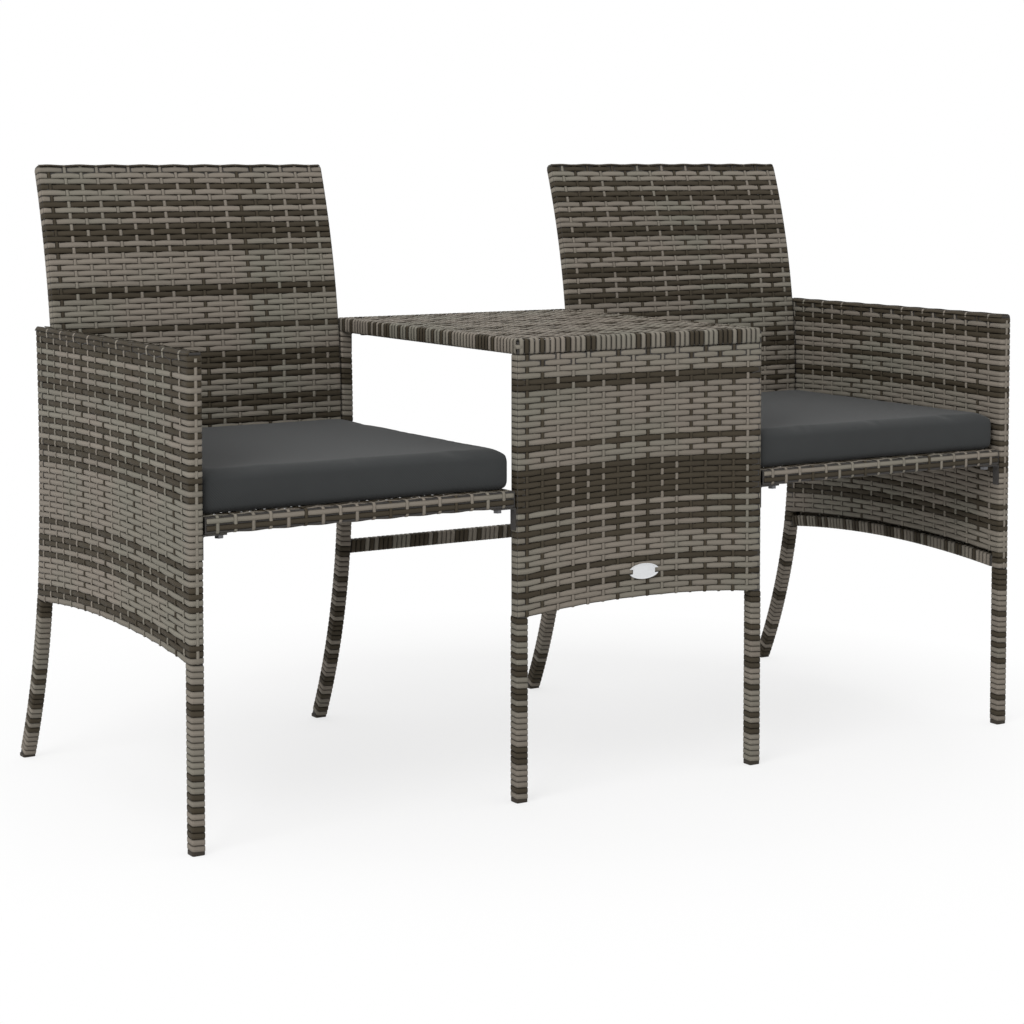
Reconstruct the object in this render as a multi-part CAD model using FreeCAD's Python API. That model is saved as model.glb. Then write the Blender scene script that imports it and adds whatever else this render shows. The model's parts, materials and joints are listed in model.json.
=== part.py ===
import FreeCAD, Part
import math
import os

# A two-seat woven garden bench with a table between the seats.
# Sizes are in millimetres: X runs to the right, Y from front to back, Z up.

# Overall sizes
overall_width = 1330.0
arm_height = 616.0
back_height = 840.0
seat_height = 415.0
table_width = 401.0
table_height = 613.0
table_top_thickness = 20.0

# Steel tubes
leg_tube = 15.0
seat_tube = 20.0
back_tube = 13.2
table_tube = 15.0
arch_tube_height = 16.0
arch_tube_depth = 12.0
stretcher_tube_height = 18.0
stretcher_tube_depth = 12.0
tube_wall = 1.2

# Plastic strand: wound once round a tube, and woven over and under
strand = 0.9
weave = 2.4
arm_weave_bulge = 4.0

# Rear legs: they stand furthest forward at the waist and sweep back to the foot
rear_leg_front = 486.5
waist_height = 450.0
bend_height = 300.0
neck_radius = 2300.0
shin_radius = 1700.0
foot_radius = 850.0

# Arched lower edges of the woven panels, and the rear stretcher
arm_arch_height = 236.0
arm_arch_rise = 14.0
table_arch_height = 247.0
table_arch_rise = 10.5
stretcher_height = 272.0

# Back panels: upright below the bend, then leaning on a large radius
back_proud = 0.5
back_bend_height = 486.0
back_radius = 1023.0
back_corner = 10.0
corner_side_count = 3

# Clearances between the panels that bolt together
panel_gap = 2.2
back_seat_gap = 2.0

# Loose seat cushions
cushion_thickness = 54.0
cushion_crown = 4.0
cushion_front = 6.0
cushion_side_gap = 4.0
cushion_back_gap = 5.0
cushion_seat_gap = 0.3
cushion_corner = 34.0
cushion_bow = 4.0
cushion_edge = 15.0
cover_thickness = 1.0
foam_gap = 0.3

# Foot caps
cap_base = 4.0
cap_plug = 14.0
cap_clearance = 0.2

# Corner brackets welded to the legs, and bolts that thread into drawn holes in the tube walls
bracket_thickness = 2.5
bracket_width = 12.0
bracket_drop = 31.0
bracket_reach = 34.0
bracket_bend = 2.0
rail_bolt_reach = 26.0
bolt_diameter = 6.0
bolt_clearance = 0.2
bolt_head_width = 10.0
bolt_head_height = 4.0
bolt_grip = 6.0
# The many bolts and their holes are drawn with flats instead of round, to keep the model light
bolt_side_count = 8
head_side_count = 6
back_bolt_rise = 31.0
back_bolt_drop = 28.0

# Table top
table_skin_inset = 1.5
table_corner = 3.0

# Room that a cutting solid runs past the faces that it cuts
past = 50.0

V = FreeCAD.Vector
leg_section = leg_tube + 2 * strand
seat_thickness = seat_tube + 2 * strand
back_thickness = back_tube + 2 * strand
arm_outer = -overall_width / 2
arm_inner = arm_outer + leg_section
table_outer = -table_width / 2
table_inner = table_outer + leg_section
table_underside = table_height - table_top_thickness
seat_underside = seat_height - seat_thickness
back_front = rear_leg_front - back_proud
back_bottom = seat_height + back_seat_gap


def box(x_range, y_range, z_range):
    size = [high - low for low, high in (x_range, y_range, z_range)]
    return Part.makeBox(*size, V(x_range[0], y_range[0], z_range[0]))


def inset(limits, amount):
    return (limits[0] + amount, limits[1] - amount)


def longer(limits):
    return (limits[0] - past, limits[1] + past)


def tube(x_range, y_range, z_range, axis):
    # A square tube along one axis: its bore is open at both ends
    ranges = [x_range, y_range, z_range]
    bore = [longer(limits) if n == axis else inset(limits, tube_wall) for n, limits in enumerate(ranges)]
    return box(*ranges).cut(box(*bore))


def line(start, end):
    return Part.makeLine(start, end)


def face_of(edges):
    return Part.Face(Part.Wire(Part.__sortEdges__(edges)))


def extrude_x(face, x_range):
    face.translate(V(x_range[0], 0, 0))
    return face.extrude(V(x_range[1] - x_range[0], 0, 0))


def mirrored(shape):
    return shape.mirror(V(0, 0, 0), V(1, 0, 0))


# Rear leg curve

shin_angle = math.asin((waist_height - bend_height) / shin_radius)
shin_centre = V(0, rear_leg_front + shin_radius, waist_height)
neck_centre = V(0, rear_leg_front + neck_radius, waist_height)
foot_centre = shin_centre + V(0, math.cos(shin_angle), math.sin(shin_angle)) * (foot_radius - shin_radius)


def leg_bend(depth):
    return foot_centre.z - (foot_radius - depth) * math.sin(shin_angle)


def leg_arc(depth, z):
    if z < leg_bend(depth):
        return foot_centre, foot_radius - depth
    if z < waist_height:
        return shin_centre, shin_radius - depth
    return neck_centre, neck_radius - depth


def on_arc(centre, radius, z):
    return V(0, centre.y - math.sqrt(radius ** 2 - (z - centre.z) ** 2), z)


def leg_y(depth, z):
    # Where the line that lies so deep behind the leg's front face stands at a height
    return on_arc(*leg_arc(depth, z), z).y


def leg_line(depth, z_range):
    stops = [z for z in (leg_bend(depth), waist_height) if z_range[0] < z < z_range[1]]
    stops = [z_range[0]] + stops + [z_range[1]]
    edges = []
    for low, high in zip(stops, stops[1:]):
        middle = (low + high) / 2
        arc = leg_arc(depth, middle)
        edges.append(Part.Arc(*[on_arc(*arc, z) for z in (low, middle, high)]).toShape())
    return edges


def leg_solid(x_range, depths, z_range):
    front = leg_line(depths[0], z_range)
    rear = leg_line(depths[1], z_range)
    ends = [line(V(0, leg_y(depths[0], z), z), V(0, leg_y(depths[1], z), z)) for z in z_range]
    return extrude_x(face_of(front + rear + ends), x_range)


def behind_leg(depth):
    # All the space behind a line of the rear legs, to trim what butts against them
    z_range = (0.0, arm_height + past)
    far = leg_y(leg_section, 0.0) + past
    corners = [V(0, leg_y(depth, z_range[0]), z_range[0]), V(0, far, z_range[0])]
    corners += [V(0, far, z_range[1]), V(0, leg_y(depth, z_range[1]), z_range[1])]
    edges = [line(a, b) for a, b in zip(corners, corners[1:])] + leg_line(depth, z_range)
    return extrude_x(face_of(edges), (-overall_width, overall_width))


overall_depth = leg_y(leg_section, 0.0)


# Arched rails

def arch_arc(span, height, rise):
    chord = span[1] - span[0]
    radius = (chord ** 2 / 4 + rise ** 2) / (2 * rise)
    return (span[0] + span[1]) / 2, height + rise - radius, radius


def arch_face(span, height, rise, low, high, place):
    # The band between two arcs that share the centre of the arch, a little longer than its span
    middle, base, radius = arch_arc(span, height, rise)
    angle = math.asin(((span[1] - span[0]) / 2 + leg_section / 2) / radius)

    def point(offset, turn):
        reach = radius + offset
        return place(middle + reach * math.sin(turn), base + reach * math.cos(turn))

    def arc(offset):
        return Part.Arc(*[point(offset, turn) for turn in (-angle, 0.0, angle)]).toShape()

    ends = [line(point(low, turn), point(high, turn)) for turn in (-angle, angle)]
    return face_of([arc(low), arc(high)] + ends)


def arch_edge(span, height, rise, place):
    middle = (span[0] + span[1]) / 2
    return Part.Arc(place(span[0], height), place(middle, height + rise), place(span[1], height)).toShape()


def across_arm(y, z):
    return V(0, y, z)


def across_table(x, z):
    return V(x, 0, z)


# Fasteners: each is a place where the head seats and the way the bolt points

def lie_along(shape, place, direction):
    shape.Placement = FreeCAD.Placement(place, FreeCAD.Rotation(V(0, 0, 1), direction))
    return shape


def prism(side_count, width, z_range):
    corner = width / 2 / math.cos(math.pi / side_count)
    turns = [2 * math.pi * n / side_count for n in range(side_count + 1)]
    rim = [V(corner * math.cos(turn), corner * math.sin(turn), z_range[0]) for turn in turns]
    return Part.Face(Part.makePolygon(rim)).extrude(V(0, 0, z_range[1] - z_range[0]))


def bolt(place, direction, length):
    # A hexagon head below its seat and a plain shank above it
    head = prism(head_side_count, bolt_head_width, (-bolt_head_height, 0.0))
    shank = prism(bolt_side_count, bolt_diameter, (0.0, length))
    return lie_along(head.fuse(shank), place, direction)


def bore(place, direction, length):
    hole = prism(bolt_side_count, bolt_diameter + 2 * bolt_clearance, (0.0, length + bolt_clearance))
    return lie_along(hole, place, direction)


def parting(place, direction, length):
    # Where a bolt passes a woven or wound layer, the strands part round it in a square gap
    half = bolt_diameter / 2 / math.cos(math.pi / bolt_side_count) + bolt_clearance
    return lie_along(box((-half, half), (-half, half), (0.0, length + bolt_clearance)), place, direction)


def bracket(face_x, toward, y, top):
    # A bent strip: one flange down the leg, the other under the rail that it carries
    outer = bracket_bend + bracket_thickness
    slope = math.sqrt(0.5)
    start = V(0, 0, -bracket_drop)
    points = [start, V(0, 0, -outer), V(outer, 0, 0), V(bracket_reach, 0, 0)]
    points += [V(bracket_reach, 0, -bracket_thickness), V(outer, 0, -bracket_thickness)]
    points += [V(bracket_thickness, 0, -outer), V(bracket_thickness, 0, -bracket_drop)]
    outer_mid = V(outer * (1 - slope), 0, -outer * (1 - slope))
    inner_mid = V(outer - bracket_bend * slope, 0, -outer + bracket_bend * slope)
    edges = [line(points[0], points[1]), Part.Arc(points[1], outer_mid, points[2]).toShape()]
    edges += [line(points[2], points[3]), line(points[3], points[4]), line(points[4], points[5])]
    edges += [Part.Arc(points[5], inner_mid, points[6]).toShape(), line(points[6], points[7])]
    edges += [line(points[7], start)]
    strip = face_of(edges).extrude(V(0, bracket_width, 0))
    strip.translate(V(0, -bracket_width / 2, 0))
    if toward < 0:
        strip = mirrored(strip)
    strip.translate(V(face_x, y, top))
    return strip


def flange(face_x, toward, y, top):
    # The gap in the strands that lets a bracket's flange through to the steel
    x_range = sorted((face_x, face_x + toward * strand))
    y_range = (y - bracket_width / 2, y + bracket_width / 2)
    return box(x_range, y_range, (top - bracket_drop, top))


bracket_middle = bracket_drop / 2
front_leg_y = leg_section / 2
seat_leg_y = leg_y(leg_section / 2, seat_underside - bracket_middle)
table_leg_y = leg_y(leg_section / 2, table_underside - bracket_middle)
left_brackets = [
    (arm_inner - strand, 1, front_leg_y, seat_underside),
    (table_outer + strand, -1, front_leg_y, seat_underside),
    (arm_inner - strand, 1, seat_leg_y, seat_underside),
    (table_outer + strand, -1, seat_leg_y, seat_underside),
    (table_inner - strand, 1, table_leg_y, table_underside),
]

# Short bolts come up through the brackets into the rails that they carry
short_length = bracket_thickness + strand + tube_wall + bolt_grip
short_bolts = []
for face_x, toward, y, top in left_brackets:
    head = V(face_x + toward * rail_bolt_reach, y, top - bracket_thickness)
    short_bolts.append((head, V(0, 0, 1)))

# Long bolts hold the backs to the rear legs from inside the backs, and the table top to its front panel
back_x = (arm_inner + panel_gap, table_outer - panel_gap)
stile_head = inset(back_x, back_thickness)
back_length = back_thickness + panel_gap + strand + tube_wall + bolt_grip
back_bolts = []
for height in (seat_height + back_bolt_rise, min(arm_height, table_underside) - back_bolt_drop):
    bolt_y = leg_y(leg_section / 2, height)
    back_bolts.append((V(stile_head[0], bolt_y, height), V(-1, 0, 0)))
    back_bolts.append((V(stile_head[1], bolt_y, height), V(1, 0, 0)))
table_length = leg_section + strand + tube_wall + bolt_grip
table_bolt_x = table_inner + rail_bolt_reach
table_bolts = [(V(table_bolt_x, front_leg_y, table_underside - leg_section), V(0, 0, 1))]

left_bolts = [(seat, short_length) for seat in short_bolts]
left_bolts += [(seat, back_length) for seat in back_bolts]
left_bolts += [(seat, table_length) for seat in table_bolts]
left_bores = Part.makeCompound([bore(*seat, length) for seat, length in left_bolts])
left_partings = [parting(*seat, length) for seat, length in left_bolts]
left_partings = Part.makeCompound(left_partings + [flange(*place) for place in left_brackets])
all_bores = Part.makeCompound([left_bores, mirrored(left_bores)])
all_partings = Part.makeCompound([left_partings, mirrored(left_partings)])


# Files: one for each node, with the origin under the middle of the bench

def save(name, shape):
    shape = shape.copy()
    shape.translate(V(0, -overall_depth / 2, 0))
    shape.exportStep("parts/" + name + ".step")


def save_pair(name, left):
    save(name.format("left"), left)
    save(name.format("right"), mirrored(left))


def save_group(name, solids):
    save(name, Part.makeCompound(solids))


def both_sides(solids):
    return solids + [mirrored(solid) for solid in solids]


# Legs

arm_leg_top = arm_height - strand
front_tube_y = (strand, strand + leg_tube)
rear_tube_depths = (strand, strand + leg_tube)


def leg_x(outer_face):
    return (outer_face + strand, outer_face + strand + leg_tube)


def front_leg_space(outer_face, top):
    return box(leg_x(outer_face), front_tube_y, (cap_base, top))


def rear_leg_space(outer_face, top):
    return leg_solid(leg_x(outer_face), rear_tube_depths, (cap_base, top))


def front_leg(outer_face, top):
    return tube(leg_x(outer_face), front_tube_y, (cap_base, top), 2).cut(left_bores)


def rear_leg(outer_face, top):
    bore_x = inset(leg_x(outer_face), tube_wall)
    hollow = leg_solid(bore_x, inset(rear_tube_depths, tube_wall), (0.0, top + past))
    return rear_leg_space(outer_face, top).cut(hollow).cut(left_bores)


def front_binding(outer_face, top):
    sleeve = box((outer_face, outer_face + leg_section), (0.0, leg_section), (cap_base, top))
    return sleeve.cut(front_leg_space(outer_face, top))


def rear_binding(outer_face, top):
    sleeve = leg_solid((outer_face, outer_face + leg_section), (0.0, leg_section), (cap_base, top))
    return sleeve.cut(rear_leg_space(outer_face, top))


def front_cap(outer_face):
    section = (outer_face, outer_face + leg_section)
    fit = strand + tube_wall + cap_clearance
    plug = box(inset(section, fit), inset((0.0, leg_section), fit), (0.0, cap_base + cap_plug))
    return box(section, (0.0, leg_section), (0.0, cap_base)).fuse(plug).removeSplitter()


def rear_cap(outer_face):
    section = (outer_face, outer_face + leg_section)
    fit = strand + tube_wall + cap_clearance
    plug = leg_solid(inset(section, fit), inset((0.0, leg_section), fit), (0.0, cap_base + cap_plug))
    return leg_solid(section, (0.0, leg_section), (0.0, cap_base)).fuse(plug).removeSplitter()


# Arms

arm_span = (leg_section, leg_y(0.0, arm_arch_height))
arm_rail_x = (arm_outer + weave, arm_outer + weave + arch_tube_depth + 2 * strand)
arm_top_rail_z = (arm_leg_top - leg_tube, arm_leg_top)
between_arm_legs_y = (strand + leg_tube, overall_depth)


def arm_arch(low, high, x_range):
    return extrude_x(arch_face(arm_span, arm_arch_height, arm_arch_rise, low, high, across_arm), x_range)


def arm_arch_space():
    rail = arm_arch(strand, strand + arch_tube_height, inset(arm_rail_x, strand))
    room = box(arm_rail_x, between_arm_legs_y, (0.0, arm_height))
    return rail.common(room).cut(behind_leg(strand))


def arm_arch_rail():
    wall = strand + tube_wall
    hollow = arm_arch(wall, strand + arch_tube_height - tube_wall, inset(arm_rail_x, wall))
    return arm_arch_space().cut(hollow)


def arm_arch_binding():
    sleeve = arm_arch(0.0, arch_tube_height + 2 * strand, arm_rail_x)
    room = box(arm_rail_x, (leg_section, overall_depth), (0.0, arm_height))
    return sleeve.common(room).cut(behind_leg(0.0)).cut(arm_arch_space())


def arm_top_rail_space():
    rail = box(leg_x(arm_outer), between_arm_legs_y, arm_top_rail_z)
    return rail.cut(behind_leg(strand))


def arm_top_rail():
    rail = tube(leg_x(arm_outer), between_arm_legs_y, arm_top_rail_z, 1)
    return rail.cut(behind_leg(strand))


def arm_weave():
    # A woven sleeve with a sheet on each side, joined round both legs and over the top rail
    rear = leg_section + arm_weave_bulge
    low_rear = V(0, leg_y(rear, arm_arch_height), arm_arch_height)
    high_rear = V(0, leg_y(rear, arm_height), arm_height)
    low_front = V(0, 0, arm_arch_height)
    high_front = V(0, 0, arm_height)
    edges = [line(low_front, across_arm(arm_span[0], arm_arch_height))]
    edges += [arch_edge(arm_span, arm_arch_height, arm_arch_rise, across_arm)]
    edges += [line(across_arm(arm_span[1], arm_arch_height), low_rear)]
    edges += leg_line(rear, (arm_arch_height, arm_height))
    edges += [line(high_rear, high_front), line(high_front, low_front)]
    sheet = extrude_x(face_of(edges), (arm_outer, arm_inner))
    pocket_z = (0.0, arm_height - leg_section)
    pocket = box((arm_outer + weave, arm_inner - weave), (leg_section, overall_depth), pocket_z)
    sheet = sheet.cut(pocket.cut(behind_leg(0.0)))
    # The inner sheet stops above the arched rail, which shows on that side
    rail_room = arm_arch(-past, arch_tube_height + 2 * strand, (arm_outer + weave, arm_inner + past))
    sheet = sheet.cut(rail_room.cut(behind_leg(0.0)))
    for piece in (front_leg_space(arm_outer, arm_leg_top), rear_leg_space(arm_outer, arm_leg_top)):
        sheet = sheet.cut(piece)
    return sheet.cut(arm_top_rail_space()).cut(arm_arch_space()).cut(left_partings)


# Table

table_span = (table_inner, -table_inner)
table_leg_top = table_underside - strand
table_rail_y = (weave, weave + arch_tube_depth + 2 * strand)
between_table_legs_x = (table_inner - strand, strand - table_inner)
panel_rail_z = (table_leg_top - leg_tube, table_leg_top)
table_depth = leg_y(leg_section, table_underside)
table_rail_height = table_top_thickness - 2 * strand - weave
table_rail_z = (table_underside + strand, table_underside + strand + table_rail_height)
table_top_x = (table_outer, -table_outer)
table_top_y = (0.0, table_depth)


def table_arch(low, high, y_range):
    band = arch_face(table_span, table_arch_height, table_arch_rise, low, high, across_table)
    band.translate(V(0, y_range[0], 0))
    return band.extrude(V(0, y_range[1] - y_range[0], 0))


def table_arch_space():
    rail = table_arch(strand, strand + arch_tube_height, inset(table_rail_y, strand))
    return rail.common(box(between_table_legs_x, table_rail_y, (0.0, table_height)))


def table_arch_rail():
    wall = strand + tube_wall
    hollow = table_arch(wall, strand + arch_tube_height - tube_wall, inset(table_rail_y, wall))
    return table_arch_space().cut(hollow)


def table_arch_binding():
    sleeve = table_arch(0.0, arch_tube_height + 2 * strand, table_rail_y)
    return sleeve.common(box(table_span, table_rail_y, (0.0, table_height))).cut(table_arch_space())


def table_panel_rail():
    return tube(between_table_legs_x, front_tube_y, panel_rail_z, 0).cut(all_bores)


def table_weave():
    # The front panel: one sheet that turns round both front legs and the rail under the top
    low_x = (table_outer, table_inner, -table_inner, -table_outer)
    low = [across_table(x, table_arch_height) for x in low_x]
    high = [across_table(x, table_underside) for x in (-table_outer, table_outer)]
    edges = [line(low[0], low[1]), arch_edge(table_span, table_arch_height, table_arch_rise, across_table)]
    edges += [line(low[2], low[3]), line(low[3], high[0]), line(high[0], high[1]), line(high[1], low[0])]
    sheet = face_of(edges).extrude(V(0, leg_section, 0))
    sheet = sheet.cut(box(table_span, (weave, leg_section + past), (0.0, table_underside - leg_section)))
    legs = both_sides([front_leg_space(table_outer, table_leg_top)])
    rail = box(between_table_legs_x, front_tube_y, panel_rail_z)
    for piece in legs + [rail, table_arch_space(), all_partings]:
        sheet = sheet.cut(piece)
    return sheet


stretcher_middle = leg_y(leg_section / 2, stretcher_height)


def stretcher_ranges(extra):
    deep = stretcher_tube_depth / 2 + extra
    tall = stretcher_tube_height / 2 + extra
    y_range = (stretcher_middle - deep, stretcher_middle + deep)
    return y_range, (stretcher_height - tall, stretcher_height + tall)


def stretcher_binding():
    sleeve = box(table_span, *stretcher_ranges(strand))
    return sleeve.cut(box(between_table_legs_x, *stretcher_ranges(0.0)))


def table_rear_binding():
    passage = box(between_table_legs_x, *stretcher_ranges(0.0))
    return rear_binding(table_outer, table_underside).cut(passage).cut(left_partings)


def table_front_rail():
    return tube(inset(table_top_x, strand), front_tube_y, table_rail_z, 0).cut(all_bores)


def table_rear_rail():
    y_range = (table_depth - strand - table_tube, table_depth - strand)
    return tube(inset(table_top_x, strand), y_range, table_rail_z, 0).cut(all_bores)


def table_side_rail():
    x_range = (table_outer + strand, table_outer + strand + table_tube)
    return tube(x_range, inset(table_top_y, strand + table_tube), table_rail_z, 1)


table_brace_top = table_height - weave
table_brace_x = inset(table_top_x, strand + table_tube)
table_brace_y = ((table_depth - table_tube) / 2, (table_depth + table_tube) / 2)
table_brace_z = (table_brace_top - table_tube, table_brace_top)


def rounded_plate(x_range, y_range, z_range, radius):
    plate = box(x_range, y_range, z_range)
    upright = [edge for edge in plate.Edges if abs(edge.tangentAt(edge.FirstParameter).z) > 0.5]
    return plate.makeFillet(radius, upright)


def table_edge_binding():
    z_range = (table_underside, table_height - weave)
    ring = box(table_top_x, table_top_y, z_range)
    opening = table_tube + 2 * strand
    ring = ring.cut(box(inset(table_top_x, opening), inset(table_top_y, opening), longer(z_range)))
    rails = box(inset(table_top_x, strand), inset(table_top_y, strand), table_rail_z)
    inside = inset(table_top_x, strand + table_tube), inset(table_top_y, strand + table_tube)
    rails = rails.cut(box(*inside, longer(table_rail_z)))
    return ring.cut(rails).cut(box(table_brace_x, table_brace_y, table_brace_z)).cut(all_partings)


def table_top_weave():
    x_range = inset(table_top_x, table_skin_inset)
    y_range = inset(table_top_y, table_skin_inset)
    return rounded_plate(x_range, y_range, (table_height - weave, table_height), table_corner)


# Backs

back_z = (back_bottom, back_height)
back_centre = V(0, back_front + back_radius, back_bend_height)


def back_y(depth, z):
    if z <= back_bend_height:
        return back_front + depth
    return on_arc(back_centre, back_radius - depth, z).y


def back_point(depth, z):
    return V(0, back_y(depth, z), z)


def back_line(depth, z_range):
    low, high = z_range
    if high <= back_bend_height:
        return [line(back_point(depth, low), back_point(depth, high))]
    edges = []
    if low < back_bend_height:
        edges.append(line(back_point(depth, low), back_point(depth, back_bend_height)))
        low = back_bend_height
    points = [back_point(depth, z) for z in (low, (low + high) / 2, high)]
    return edges + [Part.Arc(*points).toShape()]


def back_solid(x_range, depths, z_range):
    edges = back_line(depths[0], z_range) + back_line(depths[1], z_range)
    edges += [line(back_point(depths[0], z), back_point(depths[1], z)) for z in z_range]
    return extrude_x(face_of(edges), x_range)


def back_outline(margin):
    # Both top corners of a back are rounded, with a few flats in place of an arc
    low_x, high_x = inset(back_x, back_corner)
    middle_z = back_height - back_corner
    radius = back_corner - margin
    rim = [V(high_x + radius, 0, 0)]
    for n in range(corner_side_count + 1):
        turn = math.pi / 2 * n / corner_side_count
        rim.append(V(high_x + radius * math.cos(turn), 0, middle_z + radius * math.sin(turn)))
    rim += [V(low_x + high_x - point.x, 0, point.z) for point in reversed(rim)]
    return Part.Face(Part.makePolygon(rim + rim[:1])).extrude(V(0, overall_depth, 0))


back_tube_depths = (strand, strand + back_tube)
back_frame_z = inset(back_z, strand)
back_bars = [
    (back_frame_z[0], back_frame_z[0] + back_tube),
    (back_frame_z[1] - back_tube, back_frame_z[1]),
]
outer_stile_x = (back_x[0] + strand, back_x[0] + back_thickness - strand)
inner_stile_x = (back_x[1] - back_thickness + strand, back_x[1] - strand)
between_stiles_x = (outer_stile_x[1], inner_stile_x[0])


def back_stile(x_range):
    # The corner above the top bar stays closed
    hollow_z = (back_bars[0][0], back_bars[1][0])
    hollow = back_solid(inset(x_range, tube_wall), inset(back_tube_depths, tube_wall), hollow_z)
    stile = back_solid(x_range, back_tube_depths, back_frame_z).common(back_outline(strand))
    return stile.cut(hollow).cut(left_bores)


def back_bar(z_range):
    bar = back_solid(between_stiles_x, back_tube_depths, z_range)
    bore_depths = inset(back_tube_depths, tube_wall)
    return bar.cut(back_solid(longer(between_stiles_x), bore_depths, inset(z_range, tube_wall)))


def back_layer():
    # All the strand on a back: the woven front, and the turns round its frame behind it
    sheet = back_solid(back_x, (0.0, back_thickness), back_z).common(back_outline(0.0))
    pocket_x = inset(back_x, back_thickness)
    pocket = back_solid(pocket_x, (weave, back_thickness + past), inset(back_z, back_thickness))
    frame = back_solid(inset(back_x, strand), back_tube_depths, back_frame_z).common(back_outline(strand))
    bars_gap = (back_bars[0][1], back_bars[1][0])
    frame = frame.cut(back_solid(between_stiles_x, (-past, back_thickness + past), bars_gap))
    return sheet.cut(pocket).cut(frame).cut(left_partings)


def woven_front():
    return back_solid(longer(back_x), (-past, weave), longer(back_z))


def back_weave():
    # One woven sheet that lies over the front of the frame
    return back_layer().common(woven_front())


def back_bindings():
    # Behind the woven front, each tube of the frame is wound by itself
    turns = back_layer().cut(woven_front())
    low_x, high_x = inset(back_x, back_thickness)
    solids = []
    for x_range in ((low_x - past, low_x), (low_x, high_x), (high_x, high_x + past)):
        solids += turns.common(box(x_range, (0.0, overall_depth), longer(back_z))).Solids
    return solids


# Seats

seat_x = back_x
seat_y = (0.0, leg_y(leg_section, seat_underside))
seat_z = (seat_underside, seat_height)
seat_rail_z = inset(seat_z, strand)
seat_front_y = (strand, strand + seat_tube)
seat_rear_y = (seat_y[1] - strand - seat_tube, seat_y[1] - strand)
seat_side_y = (seat_front_y[1], seat_rear_y[0])
seat_outer_x = (seat_x[0] + strand, seat_x[0] + strand + seat_tube)
seat_inner_x = (seat_x[1] - strand - seat_tube, seat_x[1] - strand)
seat_brace_x = ((seat_x[0] + seat_x[1] - seat_tube) / 2, (seat_x[0] + seat_x[1] + seat_tube) / 2)
seat_brace_z = (seat_underside + strand, seat_height - weave)


def seat_cross_rail(y_range):
    return tube(inset(seat_x, strand), y_range, seat_rail_z, 0).cut(left_bores)


def seat_weave():
    # One woven sheet over the seat frame that turns down round its rails
    pocket = box(inset(seat_x, seat_thickness), inset(seat_y, seat_thickness), (0.0, seat_height - weave))
    sheet = box(seat_x, seat_y, seat_z).cut(pocket)
    frame = box(inset(seat_x, strand), inset(seat_y, strand), seat_rail_z)
    frame = frame.cut(box((seat_outer_x[1], seat_inner_x[0]), seat_side_y, longer(seat_rail_z)))
    return sheet.cut(frame).cut(box(seat_brace_x, seat_side_y, seat_brace_z)).cut(left_partings)


# Cushions

cushion_x = (arm_inner + cushion_side_gap, table_outer - cushion_side_gap)
cushion_y = (cushion_front, back_front - cushion_back_gap)
cushion_middle = sum(cushion_x) / 2
cushion_base = seat_height + cushion_seat_gap


def round_in(radius, step):
    # How far a round edge of this radius draws in, so far from where it starts
    reach = max(radius - step, 0.0)
    return radius - math.sqrt(radius ** 2 - reach ** 2)


def cushion_slice(x, step, skin):
    # One upright slice: flat below, round at the front and back, and crowned on top
    spread = (x - cushion_middle) / (cushion_x[1] - cushion_middle)
    draw = skin + round_in(cushion_corner, step) + cushion_bow * (1 - spread ** 2)
    sink = skin + round_in(cushion_edge, step)
    front, rear = inset(cushion_y, draw)
    low = cushion_base + sink
    top = cushion_base + cushion_thickness - sink - cushion_crown * spread ** 2
    shoulder = top - cushion_crown
    edge = min(cushion_edge, (shoulder - low) / 3)
    turn = edge * (1 - math.sqrt(0.5))
    middle = (front + rear) / 2

    def side(y, inward):
        # From the bottom up: a bevel, the upright side and a bevel
        stops = [V(x, y + inward * edge, low), V(x, y + inward * turn, low + turn)]
        return stops + [V(x, y + inward * turn, shoulder - turn), V(x, y + inward * edge, shoulder)]

    # The outline runs up the front, over the crown and down the rear
    return side(front - turn, 1) + [V(x, middle, top)] + side(rear + turn, -1)[::-1]


def crown_arc(outline):
    return Part.Arc(*outline[3:6]).toShape()


def end_face(outline):
    below = outline[5:] + outline[:4]
    return face_of([line(a, b) for a, b in zip(below, below[1:])] + [crown_arc(outline)])


def band(outline, following):
    # The faces between two slices: all flat but the crown
    faces = [Part.makeRuledSurface(crown_arc(outline), crown_arc(following))]
    pairs = list(zip(outline, following))
    flats = pairs[5:] + pairs[:4]
    for (a, a_next), (b, b_next) in zip(flats, flats[1:]):
        faces.append(Part.Face(Part.makePolygon([a, b, b_next, a_next, a])))
    return faces


def cushion_solid(skin):
    x_low, x_high = inset(cushion_x, skin)
    steps = (0.0, cushion_edge / 3, cushion_edge, cushion_corner)
    slices = [cushion_slice(x_low + step, step, skin) for step in steps]
    slices.append(cushion_slice(cushion_middle, cushion_corner, skin))
    slices += [cushion_slice(x_high - step, step, skin) for step in reversed(steps)]
    faces = [end_face(slices[0]), end_face(slices[-1])]
    for outline, following in zip(slices, slices[1:]):
        faces += band(outline, following)
    skin_shell = Part.makeShell(faces)
    skin_shell.sewShape()
    return Part.Solid(skin_shell)


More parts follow.
